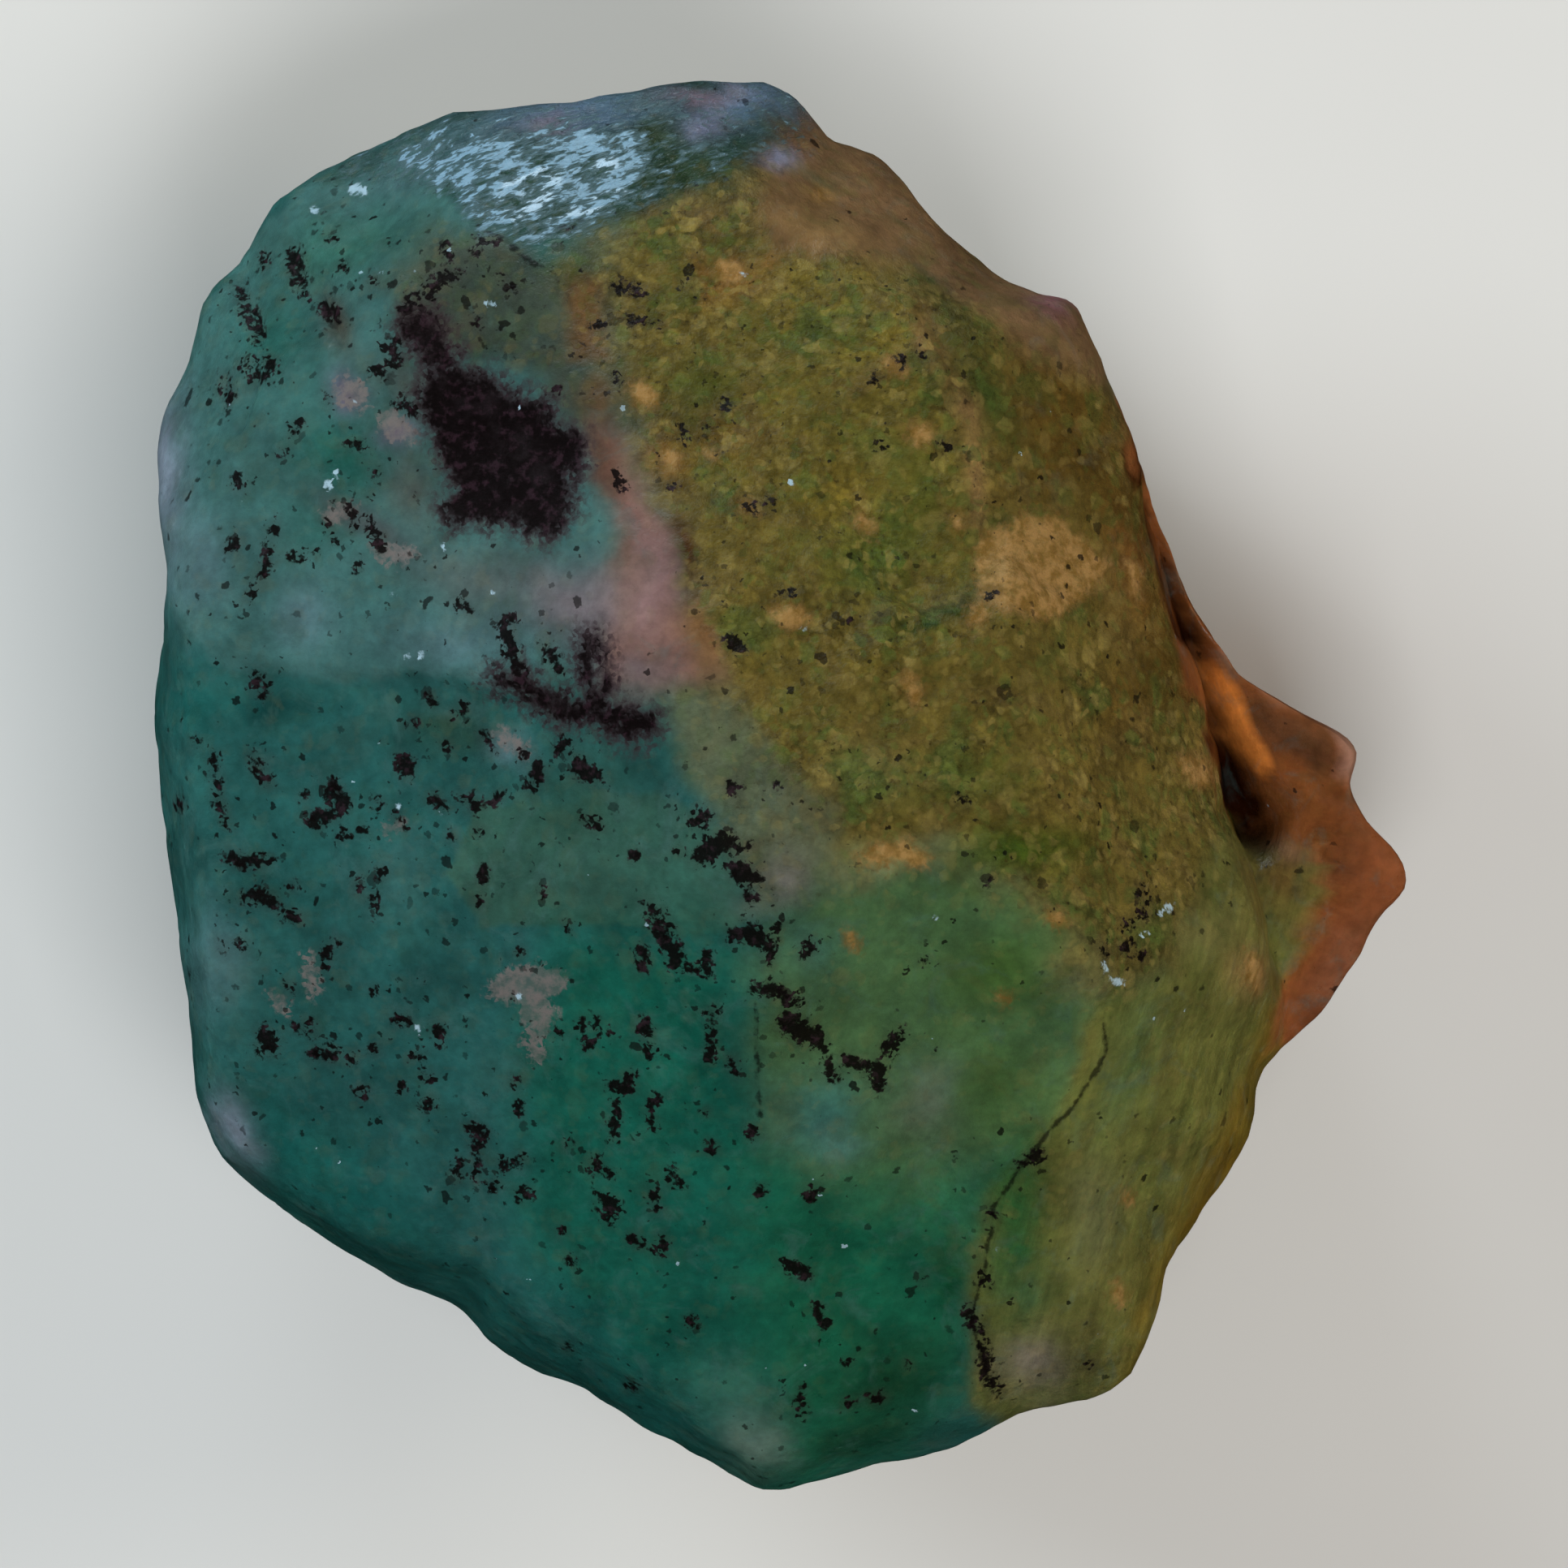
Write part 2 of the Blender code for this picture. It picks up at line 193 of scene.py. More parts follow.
# Grooves in the shelf's top, in mm: the bed in plan, then half width and depth at its two ends.
# They fade out towards GROOVED_BELOW, so that they don't climb the body's wall.
GROOVES = {
    "cleft along the right wall": (
        [(11.5, 9.6), (12.0, 7.2), (12.7, 5.2), (12.9, 3.1), (13.9, 0.6), (14.7, -1.2)],
        (0.4, 1.0), (0.5, 3.2),
    ),
    "under the shelf's rim": ([(14.9, 2.5), (16.6, 0.9), (17.6, 0.2)], (0.4, 0.5), (0.3, 0.7)),
    "beside the lobe": ([(17.2, -1.7), (17.6, -3.0), (17.8, -4.4)], (0.4, 0.35), (0.9, 0.6)),
}
GROOVED_BELOW = 14.5
GROOVE_FADE = 1.5

# Rays are drawn together round the level at which they graze the shelf's top: the compass angle
# and rise of the middle and the reach of the pull each way, in degrees, and its strength.
CROWDING_DEG = (-4.0, 2.0, 26.0, 7.0)
CROWDING_PULL = 0.8

# Where the parts of the relief come in over the stone's side, as a gain and a start: their share
# is gain times the ray's upward part, plus start, kept between 0 and 1.
RELIEF_RISE = (4.0, 0.0)
GROOVE_RISE = (6.0, 1.0)
MARK_RISE = (8.0, 0.0)

# Each kind of noise starts at its own seed, so that no two are alike.
WAVE_SEED, FINE_SEED, GRAIN_SEED, RIPPLE_SEED, STRIATION_SEED, EDGE_SEED = 1, 11, 21, 31, 41, 51
SEED_SHIFT = np.array([17.31, 5.77, 11.93])
CELL_PRIMES = (73856093, 19349663, 83492791)

# ---- fine relief, in mm ----
FINE_WAVES = [(1.15, 0.055), (0.6, 0.03)]
GRAIN_WAVES = [(0.85, 0.06), (0.45, 0.035)]
RIPPLE_LENGTH = 2.4
RIPPLE_SPACING = 0.75
RIPPLE_TURN_DEG = 20.0
STRIATION_LENGTH = 9.0
STRIATION_SPACING = 0.9
STRIATION_TURN_DEG = 76.0

# Turn of the broad flicker that gathers the end face's painted glitter highlight into patches.
FLICKER_TURN_DEG = 32.0

# Slots in the top left corner, left by flakes that fell out: half width, depth and path.
SLOTS = [
    (0.22, 0.35, [(-17.2, 16.9), (-17.0, 15.4), (-16.4, 14.0)]),
    (0.2, 0.3, [(-15.6, 17.6), (-15.3, 16.0)]),
    (0.2, 0.25, [(-16.6, 13.6), (-17.2, 11.2)]),
    (0.18, 0.25, [(-14.6, 15.6), (-14.0, 13.8)]),
]

# ---- colours, linear ----
# One colour for each kind of area.
PALETTE = {
    "teal": (0.014, 0.075, 0.07),
    "dark teal": (0.002, 0.028, 0.027),
    "deep teal": (0.004, 0.075, 0.065),
    "fresh teal": (0.022, 0.1, 0.07),
    "clear green": (0.008, 0.07, 0.055),
    "pale teal": (0.032, 0.095, 0.09),
    "plate milk": (0.058, 0.075, 0.072),
    "plate grey": (0.055, 0.058, 0.052),
    # milky veil, and also painted rim light where it lies along the left edge
    "blue milk and rim light": (0.07, 0.13, 0.145),
    # painted rim light, pale and bluish, along the stone's left edge
    "painted rim light": (0.145, 0.17, 0.22),
    "lilac": (0.12, 0.1, 0.11),
    "dark lilac": (0.048, 0.05, 0.055),
    "blush": (0.095, 0.075, 0.115),
    "grey green": (0.035, 0.044, 0.03),
    "sage": (0.07, 0.083, 0.046),
    "pale sage": (0.155, 0.14, 0.13),
    "dark sage": (0.13, 0.155, 0.1),
    "pane green": (0.026, 0.08, 0.06),
    "deep green": (0.015, 0.05, 0.037),
    "deep emerald": (0.004, 0.08, 0.053),
    "emerald": (0.006, 0.085, 0.046),
    "dark emerald": (0.006, 0.038, 0.016),
    "tip green": (0.03, 0.105, 0.08),
    "leaf teal": (0.03, 0.09, 0.065),
    "milk teal": (0.034, 0.13, 0.115),
    "milk blue": (0.045, 0.12, 0.105),
    "milk grey": (0.09, 0.13, 0.09),
    "milk leaf": (0.085, 0.155, 0.048),
    "leaf green": (0.045, 0.1, 0.04),
    "deep leaf": (0.018, 0.12, 0.058),
    "dark leaf": (0.004, 0.058, 0.022),
    "tan leaf": (0.105, 0.1, 0.036),
    "bright leaf": (0.05, 0.107, 0.02),
    "leaf olive": (0.052, 0.074, 0.01),
    # painted shade on the low side of the raised plate's edge
    "painted shade beside the plate": (0.037, 0.046, 0.008),
    "sage olive": (0.09, 0.1, 0.042),
    "bright olive": (0.022, 0.054, 0.003),
    # painted shadow at the foot of the step below the scoop
    "painted step shadow": (0.006, 0.026, 0.003),
    "olive": (0.088, 0.068, 0.013),
    "brown olive": (0.06, 0.046, 0.004),
    "plate olive": (0.097, 0.078, 0.013),
    "bright plate": (0.14, 0.105, 0.015),
    "ochre side": (0.125, 0.09, 0.017),
    "dark olive": (0.07, 0.04, 0.006),
    "tan olive": (0.09, 0.044, 0.013),
    "moss": (0.09, 0.095, 0.022),
    "dark moss": (0.06, 0.052, 0.016),
    "strip green": (0.005, 0.088, 0.024),
    "strip leaf": (0.036, 0.094, 0.034),
    "mustard": (0.14, 0.08, 0.006),
    "gold": (0.18, 0.066, 0.017),
    "gold ledge": (0.12, 0.14, 0.06),
    "tan brown": (0.13, 0.076, 0.035),
    "shoulder tan": (0.16, 0.1, 0.036),
    "shoulder pink": (0.185, 0.073, 0.1),
    "end green": (0.016, 0.044, 0.035),
    "end teal": (0.046, 0.105, 0.11),
    # painted highlight, bluish, on the end face
    "end highlight blue": (0.09, 0.145, 0.23),
    "end leaf": (0.013, 0.026, 0.005),
    # painted highlight, pale lilac, on the end face
    "end highlight lilac": (0.18, 0.2, 0.31),
    "end dark": (0.02, 0.032, 0.01),
    "end pink": (0.22, 0.155, 0.21),
    "crest pink": (0.15, 0.08, 0.062),
    "crest orange": (0.145, 0.073, 0.027),
    "crest brown": (0.05, 0.02, 0.004),
    "bright pink": (0.19, 0.115, 0.115),
    "pink brown": (0.056, 0.024, 0.013),
    "pale tip": (0.11, 0.18, 0.145),
    "pale foot": (0.16, 0.14, 0.11),
    # painted highlight on the shelf's tip
    "painted shelf tip highlight": (0.28, 0.095, 0.036),
    "shelf tan": (0.165, 0.052, 0.014),
    "shelf pink": (0.26, 0.135, 0.095),
    # painted shade on the shelf, in its groove and along the fold of its tip
    "painted shelf shade": (0.1, 0.04, 0.016),
    "shelf orange": (0.137, 0.042, 0.014),
    # painted warm light on the slope of the shelf's top
    "painted warm light on the strip": (0.62, 0.2, 0.037),
    # painted shadow in the cleft, the hollows and the grooves of the shelf
    "painted cleft shadow": (0.026, 0.005, 0.001),
}

# The zones' colours are partly the stone's own and partly painted light: each face is as light or dark
# as it was lit, with a cool tint on the left side and a warm one on the right.
# Each zone: name, colour, strength, softness of its edge (mm), share of grain, share of specks,
# and its corners in plan.
BASE_ZONE = ("teal", 0.1, 0.45)
ZONES = [
    ("upper left plate", "pale teal", 1, 0.14, 0.12, 0.45, [
        (-20, 12.7), (-18.2, 15.3), (-16.6, 17.6), (-15.1, 19.3), (-11.4, 19.6), (-8.1, 17.4),
        (-7, 14.3), (-5.2, 10.6), (-2.9, 7), (-2.3, 3.6), (-6.8, 3.2), (-8.8, 3.1), (-12.5, 3.5),
        (-16.4, 3.6), (-17.2, 3.7), (-18.1, 4.4), (-19.1, 5.3), (-19.8, 7.2)]),
    ("grey above the patch", "grey green", 0.9, 0.6, 0.35, 1, [
        (-11.2, 17.8), (-9.4, 17.8), (-7, 16.2), (-6.4, 13.5), (-5.6, 11.7), (-6.8, 11.4), (-7.3, 12.7),
        (-9.4, 13.5), (-10.9, 14), (-12, 14.8), (-12.2, 16.3)]),
    ("pane", "pane green", 1, 0.12, 0.08, 0.3, [
        (-9.6, -0.4), (-6.8, -0.2), (-4.2, -0.4), (0.7, -2.1), (1, -3.4), (-0.8, -4.3), (-4.2, -4.5),
        (-9.4, -4.5), (-10.4, -2.9)]),
    ("green right part", "deep emerald", 0.85, 1.5, 0.1, 0.45, [
        (-7, -4.7), (-0.8, -4.5), (-0.7, -9.9), (1, -11.7), (0, -22.9), (-2.1, -21.6), (-5.2, -19),
        (-8.3, -13.8), (-8.1, -9.4)]),
    ("lower face", "leaf green", 1, 0.9, 0.25, 0.15, [
        (0.1, -3.7), (1.3, -2.9), (4.9, -2.4), (9.6, -3.8), (11.7, -6.8), (9.4, -12.5), (7, -15.4),
        (3.1, -15.4), (1, -13.3), (-0.7, -11), (-0.8, -5.5)]),
    ("low end of the lower face", "emerald", 1, 1.9, 0.08, 0.25, [
        (-0.9, -11.2), (1, -12.3), (4.9, -13), (7.3, -12.5), (6.2, -13.8), (6.1, -16.4), (6.2, -19),
        (3.6, -21.6), (0, -22.9), (-0.8, -16.4)]),
    ("upper face", "olive", 1, 1.2, 1, 0.5, [
        (-7, 16.2), (-4.2, 18.9), (-1.6, 20), (1, 20.2), (5.2, 16.6), (9.1, 15.6), (12, 10.6),
        (14, 5.9), (15.6, 1), (16.4, -1.6), (13.3, -6), (10.1, -6.7), (8.6, -4.2), (4.9, -2.4),
        (1.6, -2.6), (-0.3, -0.4), (-2.1, 2.3), (-2.9, 4.6), (-3.4, 7), (-4.2, 9.6), (-4.9, 11.7),
        (-5.5, 13.5), (-5.8, 15.3)]),
    ("sage seam", "sage", 0.95, 0.7, 0.5, 0.5, [
        (-3.8, 3.1), (-2.3, 3.3), (-0.5, 1), (1.8, -0.8), (1.8, -2.6), (0.8, -3.5), (-0.5, -3.7),
        (-1.8, -1.1), (-3.1, 0.5)]),
    ("right bevel", "dark olive", 0.9, 1.2, 0.6, 0.3, [
        (6.6, 11.4), (7.3, 13.7), (8.8, 14.3), (10.9, 11.7), (12.7, 5.4), (13.3, 3.1), (11.4, 2.8),
        (10.4, 5.4), (9.6, 9.1), (7, 9.1)]),
    ("raised plate", "plate olive", 0.8, 0.2, 1, 0.45, [
        (1, 16.6), (3.9, 15.5), (5.3, 13), (6.8, 9.8), (6.4, 7), (5.2, 5.9), (3.4, 5.7), (0.5, 7),
        (-1.6, 9.6), (-2.1, 13.5)]),
    ("prism face", "moss", 1, 0.45, 0.35, 0.18, [
        (12.5, -5.5), (13.8, -1.9), (15.2, -1.1), (17.3, -1.9), (17.4, -3.4), (17, -5.5), (15.9, -8.6),
        (15.6, -11.2), (13.3, -15.4), (12, -19.3), (7.3, -20.6), (6.2, -19.5), (6.1, -16.4),
        (6.6, -13.3), (7.9, -11.7), (10.1, -6.7)]),
    ("prism face rim", "mustard", 0.9, 0.9, 0.2, 0.1, [
        (15.6, -7.3), (16.4, -8.6), (15.9, -11.7), (13.3, -15.6), (12.2, -19.5), (11.2, -19.5),
        (12.1, -15.4), (14.4, -10.7)]),
    ("end face", "end green", 1, 0.3, 0.2, 0.25, [
        (-15.1, 19.2), (-10.4, 22.1), (-1.6, 22.8), (1, 22.3), (1, 20.2), (-1.6, 19.6), (-5.2, 17.6),
        (-8.1, 17.1), (-10.4, 18.5), (-12, 19.1)]),
    ("upper right bevel", "tan brown", 1, 0.6, 0.35, 0.12, [
        (-0.8, 19.6), (1, 22.3), (3.6, 20.5), (6.2, 17.6), (8.6, 16.3), (10.7, 14.8), (10.7, 12.7),
        (8.8, 13.4), (7.3, 14.1), (5.2, 15.7), (3.1, 16.6), (0, 16.9)]),
    ("tan strip at the crest", "tan olive", 0.9, 0.4, 0.6, 0.6, [
        (-7, 16.4), (-5.8, 16.1), (-5.3, 13.5), (-6.6, 13.4), (-6.9, 14.8)]),
    ("crest", "crest pink", 1, 0.6, 0.12, 0.1, [
        (-5.8, 11.5), (-4.7, 10.6), (-4.2, 9.3), (-3.6, 8), (-3.6, 7), (-3.4, 6.1), (-2.7, 5.2),
        (-2.1, 4.3), (-1.9, 3.5), (-2.5, 3.1), (-3.6, 3.1), (-4.5, 2.8), (-5.5, 3.1), (-5.6, 4.4),
        (-5.8, 5.9), (-5.6, 7.2), (-5.2, 8.5), (-5.7, 10.1)]),
    ("shelf", "shelf tan", 1, 0.3, 0.1, 0.1, [
        (10.8, 12.2), (11.1, 10.7), (11.7, 8.4), (12.1, 6.4), (12.4, 4.9), (12.5, 3.1), (13.1, 2),
        (13.5, 0.5), (14, -0.5), (14.6, -1.5), (15.2, -1.9), (16.9, -2.2), (17.2, -3.2), (17, -4.4),
        (16.6, -5.3), (16, -6.4), (15.8, -8.3), (15.6, -9.4), (17.7, -8.6), (21.3, -3.4), (19.8, 0.2),
        (19.2, 3.1), (14.6, 4.6), (12.5, 9.6), (11.4, 12.2)]),
    # Painted shade in the groove under the shelf's rim.
    ("brown band of the shelf", "painted shelf shade", 0.9, 0.35, 0.1, 0.1, [
        (14.5, 3.1), (15.5, 2.6), (16.6, 2.1), (17.5, 1.5), (17.7, 0.5), (16.6, 0.4), (15.6, 1.1),
        (14.9, 2)]),
    ("shelf rim", "shelf pink", 1, 0.35, 0.05, 0, [
        (14, 4.4), (14.8, 3.5), (16.4, 2.5), (17.5, 1.8), (17.9, 1.1), (17.9, 0.5), (18.7, -0.4),
        (20.3, 0.5), (19.2, 3.1), (16.1, 3.9)]),
    ("shelf tip", "shelf orange", 1, 0.9, 0.05, 0.05, [
        (17.9, -0.4), (19.2, -0.8), (20.8, -2.8), (17.9, -8.4), (15.9, -8.9), (17.2, -5.2),
        (17.9, -3.2)]),
    # Painted light: the slope of the shelf's top that faces the warm light, as a bright orange strip.
    ("orange strip", "painted warm light on the strip", 1, 0.2, 0.05, 0, [
        (13.3, 4.4), (14, 3.5), (14.6, 2.3), (15.1, 1.5), (15.6, 0.6), (15.4, 0.1), (14.6, 1),
        (14, 1.8), (13.5, 2.8)]),
    # Painted shadow: the cleft along the right wall, the hollow by it and the line at the wall's foot.
    ("cleft", "painted cleft shadow", 1, 0.12, 0, 0, [
        (12.5, 2.9), (13.1, 2.1), (13.6, 2), (14.4, 0.8), (15.1, -0.2), (15.1, -0.9), (14.7, -1.5),
        (13.8, -0.3), (13.4, 0.8), (13.1, 2)]),
    ("dark hollow by the wall", "painted cleft shadow", 0.95, 0.15, 0, 0, [
        (12.3, 6.2), (12.6, 5.6), (13.1, 4.7), (12.9, 4.6), (12.5, 5), (12.3, 5.7)]),
    ("line along the wall", "painted cleft shadow", 0.8, 0.12, 0, 0, [
        (11, 10.9), (11.2, 10.7), (11.9, 8.4), (12.3, 6.4), (12.4, 5.8), (12.2, 5.9), (12, 6.5),
        (11.5, 8.4)]),
    ("lower left bevel", "deep teal", 0.75, 1.6, 0.1, 0.3, [
        (-18.5, -10.4), (-16.9, -12.5), (-13.8, -15.1), (-10, -16.9), (-9.4, -18.2), (-2.9, -21.6),
        (-1.4, -20.1), (-6.8, -16.7), (-12, -13.6), (-16.4, -9.7)]),
]
ZONE_EDGE_WAVES = [(2.6, 0.3), (1.0, 0.2), (0.45, 0.12)]

# Soft ovals of colour: colour, strength, middle, half sizes and turn in degrees. They are bell
# curves of the distance in half sizes, as steep as WASH_FALL says.
WASH_FALL = 1.2
WASHES = [
    # The first four washes lie along the left edge: the rim light there is painted, pale and bluish,
    # over the milky veil.
    ("painted rim light", 0.9, (-19.6, 10.2), (0.73, 2.99), 0),
    ("blue milk and rim light", 0.75, (-18.6, 7.2), (1.17, 2.08), 10),
    ("painted rim light", 0.9, (-17.4, -10.8), (0.62, 1.3), 25),
    ("blue milk and rim light", 0.5, (-18, -5.5), (0.99, 1.82), 0),
    ("blue milk and rim light", 0.8, (-15.1, 5.3), (1.04, 1.17), 0),
    ("blue milk and rim light", 0.75, (-10.4, 4.6), (2.47, 1.04), 0),
    ("clear green", 0.9, (-13.8, 10.4), (1.95, 1.61), -20),
    ("clear green", 0.75, (-15.9, 14), (1.43, 1.69), 0),
    ("clear green", 0.5, (-14.6, 8.2), (1.17, 0.78), 0),
    ("fresh teal", 0.75, (-13.8, 17.4), (2.21, 1.3), 20),
    ("plate grey", 0.75, (-11.6, 9.6), (0.91, 1.56), 0),
    ("plate milk", 0.85, (-9.4, 6.6), (2.86, 1.17), -15),
    ("lilac", 0.95, (-6.4, 5.8), (1.82, 1.3), -10),
    ("plate grey", 0.7, (-12, 13), (1.04, 0.78), 0),
    ("pink brown", 0.6, (-13.9, 14.7), (0.57, 1.17), 30),
    ("plate grey", 0.8, (-4.7, 2.8), (1.3, 0.47), -10),
    ("tan olive", 0.8, (-5.7, 12.2), (0.65, 1.04), 0),
    ("pink brown", 0.9, (-5.4, 10), (0.62, 1.56), 15),
    ("bright pink", 0.9, (-4.2, 6.5), (0.68, 2.08), 8),
    ("lilac", 0.7, (-4.3, 3.6), (1.04, 0.65), 0),
    ("tan brown", 0.85, (-2.5, 4.2), (0.52, 1.17), 20),
    ("crest brown", 1, (-3.2, 7.5), (0.44, 1.2), 10),
    ("crest orange", 0.9, (-2.5, 5), (0.44, 1.25), 20),
    ("blush", 0.95, (-14, 12.7), (0.52, 0.73), 15),
    ("blush", 0.9, (-12.3, 11.3), (0.62, 0.47), 10),
    ("dark lilac", 0.85, (-13.3, 8.3), (1.69, 0.57), -35),
    ("dark lilac", 0.3, (-6.2, 3.9), (0.52, 0.65), 0),
    ("dark teal", 0.85, (-16, 2.6), (1.25, 0.68), 0),
    ("deep teal", 0.6, (-18.7, 2.8), (1.56, 1.3), -10),
    ("deep green", 0.85, (-10.4, 1.7), (1.82, 0.73), -5),
    ("deep green", 0.8, (-6.8, -0.4), (2.86, 1.56), 8),
    ("blue milk and rim light", 0.75, (-8.7, 1.3), (0.68, 0.52), 0),
    ("pale teal", 0.6, (-12, -2.8), (1.04, 1.3), 0),
    ("dark teal", 0.6, (-16.2, -3.3), (1.3, 0.94), 0),
    ("deep teal", 0.4, (-14.6, -12), (2.86, 1.56), -30),
    ("dark sage", 0.6, (-0.9, -3.9), (0.73, 0.36), 0),
    ("pale sage", 0.85, (0.2, -2.8), (0.78, 0.78), 0),
    ("deep emerald", 0.6, (-3.4, -8.6), (1.56, 4.68), 0),
    ("tip green", 0.6, (-1.8, -19), (1.56, 1.04), 0),
    ("leaf teal", 0.8, (0.7, -5), (1.04, 1.56), 0),
    ("milk teal", 0.85, (1.2, -10.3), (1.56, 1.43), 0),
    ("milk blue", 0.6, (1.9, -11.3), (1.04, 0.65), 0),
    ("milk grey", 0.9, (4.6, -9.8), (0.99, 1.43), 0),
    ("bright leaf", 0.8, (7, -6), (2.08, 1.3), 0),
    ("milk leaf", 0.6, (8.2, -9.7), (0.91, 1.04), 40),
    ("bright leaf", 0.5, (6.5, -9.4), (1.3, 1.56), 0),
    ("tan leaf", 0.8, (9.5, -5.5), (1.04, 1.17), 0),
    ("deep leaf", 0.7, (4.9, -13.3), (1.56, 1.04), 0),
    ("dark leaf", 0.95, (5.5, -15.8), (0.62, 1.56), -8),
    ("dark emerald", 0.85, (3.4, -18.8), (2.6, 1.56), 12),
    ("dark emerald", 0.6, (2.3, -20.8), (2.86, 0.78), 12),
    # Painted shadow at the foot of the step below the scoop.
    ("painted step shadow", 1, (4.7, 5.6), (1.61, 0.47), 14),
    ("leaf olive", 0.8, (3, 7.6), (1.95, 1.43), 20),
    ("leaf olive", 0.6, (4.4, 9.6), (0.73, 1.04), 0),
    ("bright plate", 0.6, (2.2, 14.5), (1.82, 0.91), -25),
    ("bright plate", 0.6, (1.8, 9.6), (1.3, 0.91), 20),
    # Painted shade on the low side of the raised plate's edge.
    ("painted shade beside the plate", 0.95, (6.4, 12.5), (0.68, 2.47), 25),
    ("painted shade beside the plate", 0.7, (4.7, 15.5), (1.56, 0.57), -38),
    ("leaf olive", 0.5, (6, 0.2), (2.86, 1.04), 10),
    ("bright olive", 0.85, (7.3, -2.1), (2.47, 0.78), 8),
    ("end leaf", 0.6, (-2.1, 18.9), (0.91, 1.04), 0),
    ("sage olive", 0.6, (-5.7, 17.3), (0.78, 0.73), 0),
    ("leaf olive", 0.6, (-2.4, 12.8), (1.17, 0.91), 30),
    ("dark olive", 0.7, (-1.6, 11.1), (1.17, 1.04), 0),
    # Painted light: the three shoulder tan washes below are the lit rim of the raised plate's edge.
    ("shoulder tan", 0.95, (6.2, 9.6), (0.36, 1.82), 10),
    ("shoulder tan", 0.9, (5.8, 11.9), (0.36, 1.25), 24),
    ("shoulder tan", 0.9, (4.7, 14.1), (0.39, 1.17), 22),
    ("shoulder tan", 0.5, (-2.1, 17.8), (0.52, 0.52), 0),
    ("gold", 0.45, (-1.7, 16.1), (1.3, 0.91), 0),
    ("gold ledge", 0.85, (3.8, -2.1), (1.56, 0.52), 0),
    ("tan leaf", 0.55, (2.6, 0.5), (1.56, 1.04), 0),
    ("ochre side", 0.7, (9.5, 0.2), (1.82, 1.56), 0),
    ("dark olive", 0.7, (11, 2.6), (1.3, 1.82), 0),
    ("gold", 0.35, (10.9, 7.2), (0.78, 1.56), 0),
    ("gold", 0.45, (-3.6, 10.2), (0.68, 0.94), 20),
    ("brown olive", 0.5, (2.6, 4.4), (1.56, 0.78), 0),
    ("pale tip", 0.9, (-0.9, -20.7), (0.94, 1.04), 0),
    ("pale foot", 0.9, (8.1, -18.4), (1.17, 1.09), 0),
    ("strip green", 0.95, (7.5, -13.7), (0.78, 2.39), -8),
    ("strip leaf", 0.8, (7.9, -16), (0.88, 0.94), 0),
    ("strip leaf", 0.5, (11, -8.6), (0.78, 2.86), -15),
    ("sage olive", 0.8, (9.8, -13.6), (0.88, 1.95), 0),
    ("dark moss", 0.6, (9.9, -17.5), (1.04, 1.56), 0),
    ("shoulder tan", 0.7, (14.7, -5.8), (0.78, 0.99), 10),
    ("tan leaf", 0.6, (13.5, -4.5), (1.17, 0.78), 0),
    ("end teal", 0.9, (-12, 19.6), (3.12, 1.17), 25),
    # Painted highlight: the end face's bluish sheen where it catches the light behind it.
    ("end highlight blue", 0.8, (-6.8, 21.3), (3.12, 0.78), 8),
    ("end highlight blue", 0.8, (-0.8, 21.7), (1.82, 0.73), 0),
    ("end pink", 0.7, (-2.3, 21.9), (1.3, 0.31), 0),
    ("end dark", 0.9, (-4.2, 20.8), (0.88, 0.47), 0),
    ("end leaf", 0.8, (-3.2, 19.6), (1.56, 0.91), 0),
    ("shoulder pink", 0.85, (8.7, 15.4), (0.88, 0.52), -25),
    # Painted highlight on the shelf's tip.
    ("painted shelf tip highlight", 0.8, (19.4, -2.7), (0.78, 0.78), 0),
    # Painted shadow in the groove beside the lobe.
    ("painted cleft shadow", 0.55, (17.6, -3.3), (0.18, 1.09), 0),
    # Painted shade along the fold below the shelf's tip.
    ("painted shelf shade", 0.7, (18.3, -1.1), (1.17, 0.57), -50),
    ("shelf pink", 0.6, (17.9, -5.8), (0.65, 1.56), -25),
    ("shelf pink", 0.6, (16.1, -2.2), (1.17, 0.31), -15),
    ("tan olive", 0.75, (16, -3), (1.3, 1.43), 0),
    # Painted highlight: pale lilac spots of the end face's sheen.
    ("end highlight lilac", 0.9, (-2.3, 21), (0.78, 0.52), 10),
    ("end highlight lilac", 0.9, (0.1, 20), (0.62, 0.34), 10),
    ("end pink", 0.5, (-7.6, 20.9), (0.88, 0.36), 10),
    ("shoulder tan", 0.7, (1.3, 17.8), (2.08, 0.68), -25),
]

